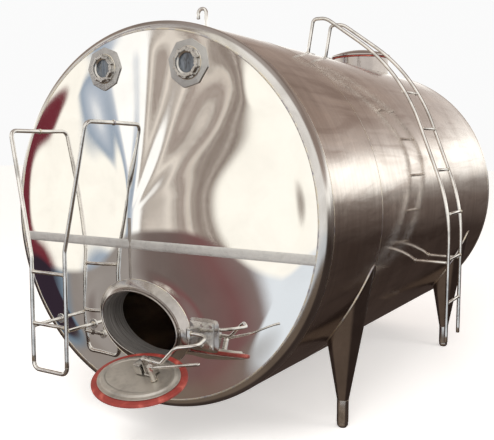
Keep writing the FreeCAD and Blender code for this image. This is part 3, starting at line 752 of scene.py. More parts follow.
def rim_surface(front):
    """Knuckle: a quarter round from the flat head to the shell, ground flat at both welds."""
    curve = arc_points((FLAT_R, KNUCKLE), KNUCKLE, -90, 0, 18)
    outline = np.concatenate([[(FLAT_R - 0.004, 0.0012)], curve,
                              [(SHELL_R, RIM_DEPTH - 0.012), (SHELL_R - 0.0009, RIM_DEPTH),
                               (SHELL_R - WALL, RIM_DEPTH), (SHELL_R - WALL, 0.010),
                               (FLAT_R - 0.004, 0.006)]])
    if not front:
        return turned_ring(tank(0, LENGTH, 0), -Y_AXIS, outline, 360)
    return turned_ring(tank(0, 0, 0), Y_AXIS, outline, 360)


def on_shell(angle, y, proud=0.0):
    """Place on the shell, angle in radians from the crown towards +X."""
    radius = SHELL_R + proud
    return tank(radius * math.sin(angle), y, radius * math.cos(angle))


def rounded_plate(centre, first, second, third, outline, thick, radius=0.002):
    """Plate of any convex outline with rounded edges: the outline is drawn in towards its mean
    by a quarter round at both faces."""
    outline = np.asarray(outline, float)
    middle = outline.mean(0)
    arms = outline - middle
    size = np.linalg.norm(arms, axis=1).max()
    rows = []
    ease = np.radians(np.linspace(0, 90, 4))
    for sign, steps in ((-1, ease), (1, ease[::-1])):
        for t in steps:
            flat = middle + arms * (1 - radius * (1 - math.sin(t)) / size)
            height = sign * (thick / 2 - radius * (1 - math.cos(t)))
            rows.append(np.asarray(centre) + flat[:, :1] * first + flat[:, 1:] * second
                        + height * np.asarray(third))
    return solid(np.array(rows))


# ---- settings ----------------------------------------------------------------------------------
def length(name, description, default, low=0.0, high=1.0):
    """A length in metres that a user may change in the panel."""
    return bpy.props.FloatProperty(name=name, description=description, default=default, min=low,
                                   max=high, precision=4, subtype="DISTANCE", unit="LENGTH")


def colour(name, description, default):
    """A colour that a user may change in the panel."""
    return bpy.props.FloatVectorProperty(name=name, description=description, default=default,
                                         min=0.0, max=1.0, size=3, subtype="COLOR")


class MilkTankSheets(bpy.types.PropertyGroup):
    """Sheets, rims and their welds."""
    head_wave: length("Head wave", "Half height of the swell in the front sheet", 0.004, 0, 0.008)
    rear_wave: length("Rear wave", "Half height of the waves in the rear sheet", 0.0006, 0, 0.004)
    shell_wave: length("Shell wave", "Depth of the flats in the rolled shell", 0.0005, 0, 0.003)
    seam_width: length("Seam width", "Half width of the ground weld across the head", 0.0275)
    head_tone: colour("Head tone", "Tone of the polished head", (0.94, 0.93, 0.91))
    rim_tone: colour("Rim tone", "Tone of the polished rim", (0.66, 0.64, 0.62))
    shell_tone: colour("Shell tone", "Tone of the brushed shell", (0.78, 0.73, 0.69))
    seam_tone: colour("Seam tone", "Tone of the ground welds", (0.76, 0.75, 0.73))
    upright_tone: colour("Upright seam tone", "Tone of the short upright weld", (0.46, 0.42, 0.39))


class MilkTankTubes(bpy.types.PropertyGroup):
    """Ladders, arm, lever and vent."""
    rail_radius: length("Rail radius", "Radius of a ladder rail", 0.0125)
    rung_radius: length("Rung radius", "Radius of a rung", 0.011)
    arm_radius: length("Arm radius", "Radius of the door's swing arm", 0.010)
    lever_radius: length("Lever radius", "Radius of the lever's bar", 0.008)
    vent_radius: length("Vent radius", "Radius of the breather pipe", 0.011)
    bead_radius: length("Bead radius", "Radius of a weld bead round a tube", 0.0026)
    tube_tone: colour("Tube tone", "Tone of the polished tubes", (0.80, 0.78, 0.75))
    bead_tone: colour("Bead tone", "Tone of the weld beads", (0.74, 0.71, 0.66))


class MilkTankFittings(bpy.types.PropertyGroup):
    """Manway, door, sight glasses, legs and top fittings."""
    collar_lip: length("Collar lip", "Radius of the rolled lip of the manway's collar", 0.005)
    pan_round: length("Pan rounding", "Rounding of the door pan's upper edge", 0.006)
    pad_thick: length("Pad thickness", "Thickness of a sight glass's weld pad", 0.006)
    notch_depth: length("Notch depth", "Depth of the slots round a sight glass's ring", 0.009)
    fitting_tone: colour("Fitting tone", "Tone of rings and brackets", (0.62, 0.60, 0.57))
    collar_tone_painted_dark: colour("Collar tone painted dark", "Tone of the manway collar and hinge pad, kept dark as painted shade", (0.46, 0.43, 0.41))
    # painted shade: the collar's polished steel is given a dark tone that stands for the shading on its
    # flare
    pad_tone: colour("Pad tone", "Tone of the weld pads", (0.50, 0.49, 0.48))
    # painted shade: the bore's tone is kept dark to stand for the shade inside the manway's recess
    inner_tone_painted_dark: colour("Inner tone painted dark", "Tone of the collar's turned bore, kept dark as painted shade of the recess", (0.50, 0.47, 0.45))
    door_tone: colour("Door tone", "Tone of the matt door", (0.62, 0.59, 0.54))
    gasket_tone: colour("Gasket tone", "Tone of the red gaskets", (0.25, 0.036, 0.028))
    # painted shade: this steel tone is kept dark so the polished legs and top manway look as dark as the
    # surroundings they mirror
    leg_tone_painted_dark: colour("Leg tone painted dark", "Tone of the legs and the top manway, kept dark as painted shade", (0.42, 0.38, 0.36))


class MilkTankStage(bpy.types.PropertyGroup):
    """Floor, light and camera."""
    floor_tone: colour("Floor tone", "Tone of the pale floor", (0.95, 0.95, 0.95))
    key_power: bpy.props.FloatProperty(name="Key power", description="Power of the soft key light",
                                       default=420.0, min=0.0, max=5000.0, unit="POWER")
    fill_power: bpy.props.FloatProperty(name="Fill power", description="Power of the soft fill light",
                                        default=120.0, min=0.0, max=5000.0, unit="POWER")
    focal: bpy.props.FloatProperty(name="Focal length", description="Camera's focal length",
                                   default=52.5, min=10.0, max=200.0, unit="CAMERA")


def settings():
    """The four groups of settings kept on the scene."""
    scene = bpy.context.scene
    return scene.milk_tank_sheets, scene.milk_tank_tubes, scene.milk_tank_fittings, scene.milk_tank_stage


PAINTS = {}


def paint(name):
    """The named material, made with the scene's tones when it is first asked for."""
    sheets, tubes, fittings, stage = settings()
    recipes = {
        "head": lambda: head_steel(tuple(sheets.head_tone)),
        "rim": lambda: rim_steel(tuple(sheets.rim_tone)),
        "seam": lambda: ground_steel("ground_seam", tuple(sheets.seam_tone)),
        "upright": lambda: ground_steel("ground_upright", tuple(sheets.upright_tone)),
        "shell": lambda: shell_steel(tuple(sheets.shell_tone)),
        "tube": lambda: plain_steel("polished_tube", tuple(tubes.tube_tone), 0.07, 0.20, (30, 30, 30)),
        "bead": lambda: bead_steel(tuple(tubes.bead_tone)),
        "fitting": lambda: plain_steel("satin_fitting", tuple(fittings.fitting_tone), 0.14, 0.32),
        "pad": lambda: ground_steel("frosted_pad", tuple(fittings.pad_tone), 220.0),
        # painted shade: the bore's steel is given a dark tone for the shade of the recess
        "inner": lambda: bore_steel(tuple(fittings.inner_tone_painted_dark)),
        # painted shade: the collar and hinge pad use a darkened steel tone
        "collar": lambda: plain_steel("polished_collar_painted_dark", tuple(fittings.collar_tone_painted_dark), 0.08, 0.20,
                                      (30, 30, 30), 0.0002, 0.25),
        "door": lambda: plain_steel("matt_door", tuple(fittings.door_tone), 0.36, 0.52, (60, 60, 60),
                                    0.0004, 0.28),
        "gasket": lambda: red_rubber(tuple(fittings.gasket_tone)),
        # painted shade: the legs' steel is given a dark tone that stands for what they mirror
        "leg": lambda: plain_steel("polished_leg_painted_dark", tuple(fittings.leg_tone_painted_dark), 0.07, 0.18, (25, 25, 5),
                                   0.0002, 0.12),
        "rear": lambda: rear_steel(tuple(sheets.shell_tone)),
        "sight": sight_glass_paint,
        "floor": lambda: floor_paint(tuple(stage.floor_tone)),
    }
    if name not in PAINTS:
        PAINTS[name] = recipes[name]()
    return PAINTS[name]


class TankOperator:
    """What every operator of this add-on shares."""
    bl_options = {"REGISTER", "UNDO"}

    def execute(self, context):
        """Runs the operator's build step on the scene's settings."""
        self.build(*settings())
        return {"FINISHED"}


class MILKTANK_OT_heads(TankOperator, bpy.types.Operator):
    """Builds the two head sheets and the ground welds across the front one"""
    bl_idname = "milktank.heads"
    bl_label = "Head sheets"

    def build(self, sheets, tubes, fittings, stage):
        wave = sheets.head_wave
        piece("front_head_sheet", [front_head_surface(wave)], "tank",
              paint("head"), ("front_head_upper", "front_head_lower"))
        half = math.sqrt((FLAT_R - 0.002) ** 2 - SEAM_Z ** 2)
        x = np.linspace(-half, half, 260)
        level = np.stack([x, 0 * x + SEAM_Z], -1)
        z = np.linspace(FAN[1], -0.392, 60)
        upright = np.stack([0 * z + FAN[0], z], -1)
        piece("front_head_welds", [strip(level, (0, 1), sheets.seam_width, wave)],
              "tank", paint("seam"))
        piece("front_upright_weld", [strip(upright, (1, 0), 0.013, wave)],
              "tank", paint("upright"))
        piece("rear_head_sheet", [disc_surface(sheets.rear_wave)], "tank",
              paint("rear"), ("rear_head_upper", "rear_head_lower"))


class MILKTANK_OT_rims(TankOperator, bpy.types.Operator):
    """Builds the knuckle rings and their weld lines"""
    bl_idname = "milktank.rims"
    bl_label = "Rims"

    def build(self, sheets, tubes, fittings, stage):
        piece("front_rim_ring", [rim_surface(True)], "tank", paint("rim"), ("front_rim",))
        piece("rear_rim_ring", [rim_surface(False)], "tank", paint("rim"), ("rear_rim",))
        lines = [turned_ring(tank(0, 0.0009, 0), Y_AXIS,
                             [(FLAT_R + 0.006 * math.cos(t), 0.0012 * math.sin(t))
                              for t in np.linspace(0, 2 * math.pi, 9)[:-1]], 300)]
        for y in (RIM_DEPTH, LENGTH - RIM_DEPTH):
            lines.append(ring_bead(y, SHELL_R, 0.006, 0.0012))
        piece("rim_weld_lines", lines, "tank", paint("bead"))


class MILKTANK_OT_shell(TankOperator, bpy.types.Operator):
    """Builds the two strakes of the shell and the bead between them"""
    bl_idname = "milktank.shell"
    bl_label = "Shell"

    def build(self, sheets, tubes, fittings, stage):
        quarters = ("top_right", "top_left", "bottom_left", "bottom_right")
        for name, low, high in (("front", RIM_DEPTH, STRAKE_Y), ("rear", STRAKE_Y, LENGTH - RIM_DEPTH)):
            piece(f"{name}_strake", [strake_surface(low, high, sheets.shell_wave)], "tank",
                  paint("shell"), [f"shell_{name}_{q}" for q in quarters])
        piece("strake_weld", [ring_bead(STRAKE_Y, SHELL_R, 0.0055, 0.0012)], "tank",
              paint("bead"))


class MILKTANK_OT_manway(TankOperator, bpy.types.Operator):
    """Builds the oval collar: a flare off the head, a rolled lip and a dull bore"""
    bl_idname = "milktank.manway"
    bl_label = "Manway collar"

    def build(self, sheets, tubes, fittings, stage):
        lip = fittings.collar_lip
        sweep = np.linspace(0, 1, 12)
        flare = [(FLARE * (1 - s) ** 2.6, -0.0005 - 0.040 * s) for s in sweep]
        roll = [(-lip + lip * math.cos(t), -MANWAY_PROUD + lip - lip * math.sin(t))
                for t in np.radians(np.linspace(0, 180, 9))]
        outline = ([(FLARE, 0.004)] + flare + roll
                   + [(-MANWAY_SHEET, -0.045), (-MANWAY_SHEET, MANWAY_DEEP - 0.003),
                      (-MANWAY_SHEET + 0.003, MANWAY_DEEP), (0.0, MANWAY_DEEP), (0.0, 0.004)])
        rings = oval_rings(outline, ORIGIN + MANWAY, OVAL_LONG, OVAL_SHORT, Y_AXIS,
                           MANWAY_A, MANWAY_B, 200)
        piece("manway_collar_flared", [solid(rings, True)], "tank",
              paint("collar"), ("manway_collar",), 50)
        bore = [(-MANWAY_SHEET - 0.0008 - 0.0005 * (k % 2), y)
                for k, y in enumerate(np.linspace(-0.046, MANWAY_DEEP - 0.004, 44))]
        bore += [(-MANWAY_SHEET + 0.001, MANWAY_DEEP - 0.004), (-MANWAY_SHEET + 0.001, -0.046)]
        rings = oval_rings(bore, ORIGIN + MANWAY, OVAL_LONG, OVAL_SHORT, Y_AXIS, MANWAY_A, MANWAY_B, 160)
        piece("manway_turned_bore", [solid(rings, True)], "tank", paint("inner"))
        toe = oval_rings([(FLARE, -0.0002)], ORIGIN + MANWAY, OVAL_LONG, OVAL_SHORT, Y_AXIS,
                         MANWAY_A, MANWAY_B, 200)[0]
        piece("manway_toe_weld", [weld_bead(toe, 0.0022, 0.008, closed=True)], "tank",
              paint("bead"))


class MILKTANK_OT_door(TankOperator, bpy.types.Operator):
    """Builds the door pan with its stepped edge, clamp block, fork and stud"""
    bl_idname = "milktank.door"
    bl_label = "Door"

    def build(self, sheets, tubes, fittings, stage):
        soft = fittings.pan_round
        edge = [(-0.0605 - soft + soft * math.cos(t), 0.028 - soft + soft * math.sin(t))
                for t in np.radians(np.linspace(30, 90, 6))]
        profile = ([(-0.215, -0.017), (-0.120, -0.017), (-0.0385, -0.017), (-0.036, -0.0150),
                    (-0.036, -0.0122), (-0.0375, -0.0113), (-0.0442, -0.0108), (-0.0442, 0.0113),
                    (-0.0400, 0.0115), (-0.0376, 0.0122), (-0.0370, 0.0136), (-0.0382, 0.0150),
                    (-0.0450, 0.0158), (-0.0520, 0.0166), (-0.0575, 0.0184), (-0.0600, 0.0210)]
                   + edge
                   + [(-0.084, 0.0279), (-0.0865, 0.0270), (-0.0885, 0.0252), (-0.0930, 0.0246),
                      (-0.130, 0.0243), (-0.175, 0.0240), (-0.215, 0.0239)])
        rings = oval_rings(profile, DOOR, ALONG, SLOPE, NORMAL, 0.307, 0.223, 200)
        piece("door_pan", [solid(rings)], "door", paint("door"), ("manway_door",), 35)
        base = on_door(0.004, 0.034, 0.028)
        clamp = [block(base + 0.030 * NORMAL, ALONG, SLOPE, NORMAL, (0.050, 0.056, 0.0600), 0.004)]
        piece("door_clamp", clamp, "door", paint("fitting"), ("door_clamp_block",))
        cheeks = []
        rise = 0.102
        for side in (-1, 1):
            top = arc_points((0, rise - 0.022 - 0.051), 0.022, 0, 180, 11)
            outline = np.concatenate([[(0.022, -0.051)], top, [(-0.022, -0.051)]])
            middle = on_door(0.072 + side * 0.028, 0.042, 0.028 + 0.051)
            cheeks.append(rounded_plate(middle, SLOPE, NORMAL, ALONG, outline, 0.009, 0.0015))
        cheeks.append(block(on_door(0.072, 0.042, 0.033), ALONG, SLOPE, NORMAL, (0.065, 0.060, 0.010)))
        piece("door_fork_plates", cheeks, "door", paint("fitting"), ("door_fork",))
        foot = on_door(0.128, 0.0, 0.028)
        profile = [(0.004, 0.0), (0.015, 0.0), (0.015, 0.0575), (0.0145, 0.058), (0.007, 0.058),
                   (0.007, 0.0864), (0.0125, 0.0864), (0.013, 0.0872), (0.013, 0.0905),
                   (0.0115, 0.092), (0.004, 0.092)]
        stud = [turned(foot, NORMAL, profile, 36)]
        piece("lever_stud_turned", stud, "door", paint("fitting"), ("lever_stud",), 30)
        beads = [weld_bead(circle(foot + 0.0005 * NORMAL, ALONG, SLOPE, 0.016, 40), 0.0022, closed=True)]
        piece("door_weld_beads", beads, "door", paint("bead"))


class MILKTANK_OT_gasket(TankOperator, bpy.types.Operator):
    """Builds the door's red gasket: a rounded band with a groove round its crown"""
    bl_idname = "milktank.gasket"
    bl_label = "Door gasket"

    def build(self, sheets, tubes, fittings, stage):
        angle = np.linspace(0, 2 * math.pi, 28, endpoint=False)
        across = 0.022 * np.sign(np.cos(angle)) * np.abs(np.cos(angle)) ** 0.62
        rise = 0.011 * np.sign(np.sin(angle)) * np.abs(np.sin(angle)) ** 0.55
        groove = 0.0018 * np.exp(-((across + 0.004) / 0.0035) ** 2) * (rise > 0.006)
        section = np.stack([-0.022 + across, rise - groove], -1)
        rings = oval_rings(section, DOOR, ALONG, SLOPE, NORMAL, 0.307, 0.223, 220)
        piece("door_gasket_band", [solid(rings, True)], "door", paint("gasket"),
              ("door_gasket",))


class MILKTANK_OT_lever(TankOperator, bpy.types.Operator):
    """Builds the lever: a turned hub and a straight bar with a rounded tip"""
    bl_idname = "milktank.lever"
    bl_label = "Lever"

    def build(self, sheets, tubes, fittings, stage):
        low, high = 0.0864, 0.114
        outline = [(0.0072, low), (0.0138, low), (0.015, low + 0.0012), (0.015, high - 0.0012),
                   (0.0138, high), (0.0072, high)]
        hub = turned_ring(on_door(0.128, 0, 0), NORMAL, outline, 40)
        bar = straight(on_door(0.141, 0, 0.10376), on_door(0.508, 0, 0.210), tubes.lever_radius)
        piece("door_lever_bar", [hub, bar], "lever", paint("tube"), ("door_lever",), 35)


class MILKTANK_OT_arm(TankOperator, bpy.types.Operator):
    """Builds the swan-neck arm with its sleeve on the hinge pin"""
    bl_idname = "milktank.arm"
    bl_label = "Swing arm"

    def build(self, sheets, tubes, fittings, stage):
        corners = [tank(0.300, -0.056, -0.618), tank(0.440, -0.075, -0.612),
                   tank(0.485, -0.235, -0.620), tank(0.407, -0.325, -0.622),
                   on_door(0.170, 0.042, 0.110), on_door(0.032, 0.042, 0.110)]
        into = (corners[1] - corners[0]) / np.linalg.norm(corners[1] - corners[0])
        corners[0] = corners[0] + into * 0.010
        arm = tube(corners, (0.105, 0.060, 0.028, 0.024), tubes.arm_radius, 20)
        outline = [(0.0083, -0.018), (0.0148, -0.018), (0.016, -0.0168), (0.016, 0.0168),
                   (0.0148, 0.018), (0.0083, 0.018)]
        sleeve = turned_ring(tank(0.300, -0.056, -0.618), Z_AXIS, outline, 40)
        piece("swan_neck_arm", [arm, sleeve], "arm", paint("tube"), ("swing_arm",), 35)
        side = np.cross(into, Z_AXIS)
        ring = circle(tank(0.300, -0.056, -0.618) + into * 0.0175, side, np.cross(into, side), 0.011, 32)
        piece("swan_neck_weld", [weld_bead(ring, 0.0022, closed=True)], "arm",
              paint("bead"))


class MILKTANK_OT_hinge(TankOperator, bpy.types.Operator):
    """Builds the hinge plate, its ears, pin and bolts, and the frosted pad behind it"""
    bl_idname = "milktank.hinge"
    bl_label = "Hinge bracket"

    def build(self, sheets, tubes, fittings, stage):
        parts = [block(tank(0.351, -0.0035, -0.6345), X_AXIS, Z_AXIS, Y_AXIS, (0.158, 0.155, 0.009),
                       0.0025)]
        for low in (-0.6464, -0.5996):
            back = [(0.016, 0.056), (-0.016, 0.056)]
            nose = arc_points((0, 0), 0.016, 180, 360, 13)
            outline = np.concatenate([back, nose])
            parts.append(rounded_plate(tank(0.300, -0.056, low + 0.005), X_AXIS, Y_AXIS, Z_AXIS,
                                       outline, 0.010, 0.0015))
        parts.append(turned(tank(0.300, -0.056, -0.716), Z_AXIS,
                            [(0.005, 0.0), (0.0074, 0.0), (0.008, 0.001), (0.008, 0.1265),
                             (0.0074, 0.128), (0.005, 0.128)], 32))
        piece("hinge_plate_and_pin", parts, "tank", paint("fitting"),
              ("hinge_bracket",), 35)
        bolts = [hexagon(tank(x, -0.0078, z), -Y_AXIS, 0.017, 0.007)
                 for x, z in ((0.352, -0.578), (0.412, -0.578), (0.352, -0.692), (0.412, -0.692))]
        piece("hinge_bolts", bolts, "tank", paint("tube"), (), 25)
        angle = np.linspace(0, 2 * math.pi, 64, endpoint=False)
        wobble = 1 + 0.008 * np.sin(5 * angle + 1) + 0.005 * np.sin(9 * angle)
        square = (np.abs(np.cos(angle)) ** 8 + np.abs(np.sin(angle)) ** 8) ** -0.125 * wobble
        outline = np.stack([0.098 * square * np.cos(angle), 0.092 * square * np.sin(angle)], -1)
        pad = rounded_plate(tank(0.361, 0.0007, -0.632), X_AXIS, Z_AXIS, Y_AXIS, outline, 0.0034, 0.0012)
        piece("hinge_frosted_pad", [pad], "tank", paint("collar"))


class MILKTANK_OT_sights(TankOperator, bpy.types.Operator):
    """Builds the two sight glasses: frosted pads, slotted rings and glasses painted near-black as the
    shade of the tank behind them
    """
    bl_idname = "milktank.sights"
    bl_label = "Sight glasses"

    def build(self, sheets, tubes, fittings, stage):
        pads, rings, glasses, beads = [], [], [], []
        for number, (x, z, scale) in enumerate(SIGHTS):
            base = tank(x, 0, z)
            angle = np.linspace(0, 2 * math.pi, 96, endpoint=False)
            sector = (angle + 0.2 * number) % (math.pi / 4) - math.pi / 8
            reach = 0.124 * scale * (1 / np.cos(sector)) ** 0.9
            reach = np.minimum(reach * (1 + 0.018 * np.sin(3 * angle + number)), 0.1345 * scale)
            outline = np.stack([reach * np.cos(angle), reach * np.sin(angle)], -1)
            thick = fittings.pad_thick
            pads.append(rounded_plate(base - Y_AXIS * (thick / 2 - 0.002), X_AXIS, Z_AXIS, Y_AXIS,
                                      outline, thick + 0.004, 0.002))
            rings.append(self.slotted_ring(base, scale, fittings.notch_depth))
            glasses.append(turned(base, -Y_AXIS, [(0.004, 0.000), (0.0528 * scale, 0.000),
                                                  (0.0528 * scale, 0.0108), (0.040 * scale, 0.0116),
                                                  (0.020 * scale, 0.0119), (0.004, 0.012)], 64))
            beads.append(weld_bead(circle(base - Y_AXIS * 0.0062, X_AXIS, Z_AXIS, 0.088 * scale, 120),
                                   0.0030, 0.008, closed=True, seed=number))
        piece("sight_weld_pads", pads, "tank", paint("pad"), ("sight_pads",))
        piece("sight_slotted_rings", rings, "tank", paint("fitting"),
              ("sight_rings",), 30)
        # painted shade: the glasses are opaque and near-black, standing for the unlit inside of the tank
        piece("sight_glasses_painted_shade", glasses, "tank", paint("sight"), ("sight_glasses",))
        piece("sight_weld_beads", beads, "tank", paint("bead"))

    def slotted_ring(self, base, scale, notch):
        """Union ring: a turned outline whose outer edge steps in at ten slots. A slot is where
        the angle, folded into one tenth of a turn, lies within a quarter of it."""
        angle = np.linspace(0, 2 * math.pi, 240, endpoint=False)
        fold = np.abs((angle * 10 / (2 * math.pi)) % 1 - 0.5)
        slot_share = eased(0.5 - fold, 0.40, 0.34)
        slot_share = 1 - slot_share
        outline = [(0.0530, 0.006, 0), (0.086, 0.006, 0), (0.086, 0.012, 0), (0.086, 0.0135, 1),
                   (0.086, 0.031, 1), (0.0835, 0.034, 1), (0.066, 0.034, 0.6), (0.0635, 0.0315, 0),
                   (0.0625, 0.022, 0), (0.0560, 0.019, 0), (0.0530, 0.017, 0)]
        rows = []
        for radius, height, cut in outline:
            r = (radius - notch * cut * (1 - slot_share)) * scale
            rows.append(base + r[:, None] * (np.cos(angle)[:, None] * X_AXIS
                                             + np.sin(angle)[:, None] * Z_AXIS) - height * Y_AXIS)
        return solid(np.array(rows), True)


class MILKTANK_OT_stub(TankOperator, bpy.types.Operator):
    """Builds the sampling stub with its flange and hexagon nut"""
    bl_idname = "milktank.stub"
    bl_label = "Sampling stub"

    def build(self, sheets, tubes, fittings, stage):
        base, tip = tank(-0.378, 0.0, -0.727), tank(-0.425, -0.103, -0.686)
        run = (tip - base) / np.linalg.norm(tip - base)
        reach = np.linalg.norm(tip - base)
        profile = [(0.008, 0.006), (0.011, 0.006), (0.011, reach - 0.002), (0.010, reach),
                   (0.0075, reach), (0.007, reach - 0.008), (0.003, reach - 0.008)]
        parts = [turned(base, run, profile, 32), hexagon(base + run * 0.062, run, 0.0315, 0.022),
                 turned(base + Y_AXIS * 0.003, -Y_AXIS, [(0.005, 0), (0.026, 0), (0.026, 0.0068),
                                                         (0.0248, 0.008), (0.005, 0.008)], 40)]
        piece("sampling_stub_pipe", parts, "tank", paint("fitting"),
              ("sampling_stub",), 30)
        ring = circle(base - Y_AXIS * 0.0052, X_AXIS, Z_AXIS, 0.0118, 32)
        piece("sampling_stub_weld", [weld_bead(ring, 0.0024, closed=True)], "tank",
              paint("bead"))


class MILKTANK_OT_front_ladder(TankOperator, bpy.types.Operator):
    """Builds the front ladder: two rails, bottom step, rungs, brackets and weld beads"""
    bl_idname = "milktank.front_ladder"
    bl_label = "Front ladder"

    def build(self, sheets, tubes, fittings, stage):
        y, low, radius, rung = -0.230, -0.934, tubes.rail_radius, tubes.rung_radius
        left, right = -0.726, -0.452
        step_top = low + 0.045
        tops = (("left", left, -0.246, -0.876, 0.495), ("right", right, -0.204, -0.271, 0.540))
        beads = []
        for side, x, kink, top_x, top_z in tops:
            corners = [tank(x, y, step_top - 0.006), tank(x, y, kink), tank(top_x, y, top_z),
                       tank(top_x, 0.004, top_z)]
            piece(f"front_ladder_rail_{side}", [tube(corners, (0.120, 0.040), radius)], "tank",
                  paint("tube"), (f"front_rail_{side}",))
            beads.append(weld_bead(circle(tank(top_x, -0.001, top_z), X_AXIS, Z_AXIS, radius + 0.0015, 40),
                                   0.0032, closed=True))
            beads.append(weld_bead(circle(tank(x, y, step_top), X_AXIS, Y_AXIS, radius - 0.0004, 36),
                                   0.0011, closed=True))
            beads.append(weld_bead(circle(tank(x, y + radius - 0.001, -0.672), X_AXIS, Z_AXIS,
                                          rung + 0.001, 32), tubes.bead_radius, closed=True))
            beads.append(weld_bead(circle(tank(x, -0.0062, -0.672), X_AXIS, Z_AXIS, rung + 0.001, 32),
                                   tubes.bead_radius, closed=True))
        corners = [tank(left, y, step_top + 0.006), tank(left, y, low), tank(right, y, low),
                   tank(right, y, step_top + 0.006)]
        piece("front_ladder_step", [tube(corners, (0.044, 0.044), radius - 0.0001)], "tank",
              paint("tube"), ("front_bottom_step",))
        rungs = []
        for z in (-0.341, -0.653):
            rungs.append(straight(tank(left + 0.008, y, z), tank(right - 0.008, y, z), rung))
            for x in (left + radius, right - radius):
                beads.append(weld_bead(circle(tank(x, y, z), Y_AXIS, Z_AXIS, rung + 0.0005, 32),
                                       tubes.bead_radius, closed=True))
        piece("front_ladder_rungs", rungs, "tank", paint("tube"), ("front_rungs",))
        brackets = []
        for x in (left, right):
            brackets.append(straight(tank(x, y + 0.008, -0.672), tank(x, 0.0, -0.672), rung))
            brackets.append(turned(tank(x, 0.003, -0.672), -Y_AXIS,
                                   [(0.006, 0), (0.030, 0), (0.030, 0.0078), (0.0285, 0.009),
                                    (0.006, 0.009)], 40))
        piece("front_ladder_brackets", brackets, "tank", paint("tube"),
              ("front_brackets",), 35)
        piece("front_ladder_welds", beads, "tank", paint("bead"))


class MILKTANK_OT_side_ladder(TankOperator, bpy.types.Operator):
    """Builds the side ladder that follows the shell over to the tank's crown"""
    bl_idname = "milktank.side_ladder"
    bl_label = "Side ladder"

    def build(self, sheets, tubes, fittings, stage):
        radius, rung = tubes.rail_radius, tubes.rung_radius
        near, far = 1.561, 1.861
        path = ((1.263, -0.900), (1.263, 0.0), (0.908, 0.921), (0.345, 1.319), (0.246, 1.322),
                (0.2049, 1.0795))
        rungs_at = ((1.263, -0.639), (1.263, -0.341), (1.260, -0.036), (1.163, 0.254),
                    (1.057, 0.534), (0.917, 0.785))
        beads, feet, brackets = [], [], []
        for side, y in (("near", near), ("far", far)):
            corners = [tank(x, y, z) for x, z in path]
            piece(f"side_ladder_rail_{side}", [tube(corners, (1.25, 1.25, 0.130, 0.034), radius)],
                  "tank", paint("tube"), (f"side_rail_{side}",))
            angle = math.atan2(0.206, 1.086)
            out = np.array([math.sin(angle), 0, math.cos(angle)])
            over = np.array([math.cos(angle), 0, -math.sin(angle)])
            feet.append(block(on_shell(angle, y, 0.001), over, Y_AXIS, out, (0.090, 0.060, 0.0120)))
            beads.append(weld_bead(circle(on_shell(angle, y, 0.0072), over, Y_AXIS, radius + 0.001, 36),
                                   tubes.bead_radius, closed=True))
            reach = math.sqrt(SHELL_R ** 2 - 0.363 ** 2)
            brackets.append(straight(tank(reach - 0.006, y, -0.363), tank(1.263 - 0.008, y, -0.363), rung))
            beads.append(weld_bead(circle(tank(reach + 0.002, y, -0.363), Y_AXIS, Z_AXIS + 0.35 * X_AXIS,
                                          rung + 0.001, 36), 0.0032, closed=True))
            beads.append(weld_bead(circle(tank(1.263 - radius, y, -0.363), Y_AXIS, Z_AXIS,
                                          rung + 0.0005, 32), tubes.bead_radius, closed=True))
        piece("side_ladder_brackets", brackets, "tank", paint("tube"), ("side_brackets",))
        piece("side_ladder_saddles", feet, "tank", paint("tube"), ("side_top_feet",))
        rungs = []
        for x, z in rungs_at:
            rungs.append(straight(tank(x, near + 0.008, z), tank(x, far - 0.008, z), rung))
            for y in (near + radius, far - radius):
                beads.append(weld_bead(circle(tank(x, y, z), X_AXIS, Z_AXIS, rung - 0.0006, 32),
                                       0.0024, closed=True))
        piece("side_ladder_rungs", rungs, "tank", paint("tube"), ("side_rungs",))
        piece("side_ladder_welds", beads, "tank", paint("bead"))


class MILKTANK_OT_top_manway(TankOperator, bpy.types.Operator):
    """Builds the round top manway: neck, weld, gasket and domed lid"""
    bl_idname = "milktank.top_manway"
    bl_label = "Top manway"

    def build(self, sheets, tubes, fittings, stage):
        y, outer, top = 3.060, 0.250, SHELL_R + 0.110
        low = math.sqrt((SHELL_R - WALL) ** 2 - outer ** 2)
        outline = [(outer - 0.006, low), (outer, low), (outer, top - 0.001), (outer - 0.001, top),
                   (outer - 0.005, top), (outer - 0.006, top - 0.001)]
        neck = turned_ring(tank(0, y, 0), Z_AXIS, outline, 128)
        piece("top_manway_neck_ring", [neck], "tank", paint("leg"),
              ("top_manway_neck",), 35)
        angle = np.linspace(0, 2 * math.pi, 160, endpoint=False)
        x = (outer + 0.001) * np.cos(angle)
        line = np.stack([x, y + (outer + 0.001) * np.sin(angle), np.sqrt(SHELL_R ** 2 - x ** 2)], -1)
        piece("top_manway_weld", [weld_bead(ORIGIN + line, 0.0045, 0.009, closed=True)], "tank",
              paint("bead"))
        swell = [(outer + 0.006 + 0.006 * math.cos(t), top + 0.007 + 0.007 * math.sin(t))
                 for t in np.radians(np.linspace(-90, 90, 9))]
        gasket = turned_ring(tank(0, y, 0), Z_AXIS, swell + [(0.220, top + 0.014), (0.220, top)], 128)
        piece("top_manway_gasket_band", [gasket], "tank", paint("gasket"),
              ("top_manway_gasket",))
        lid, dome = 0.268, 0.055
        ball = (lid ** 2 + dome ** 2) / (2 * dome)
        crown = [(r, 0.014 + dome - ball + math.sqrt(ball ** 2 - r ** 2))
                 for r in np.linspace(0.262, 0.006, 26)]
        profile = [(0.006, 0.0), (0.266, 0.0), (0.268, 0.002), (0.268, 0.012), (0.2665, 0.014)] + crown
        piece("top_manway_domed_lid", [turned(tank(0, y, top + 0.014), Z_AXIS, profile, 128)], "tank",
              paint("leg"), ("top_manway_lid",), 30)


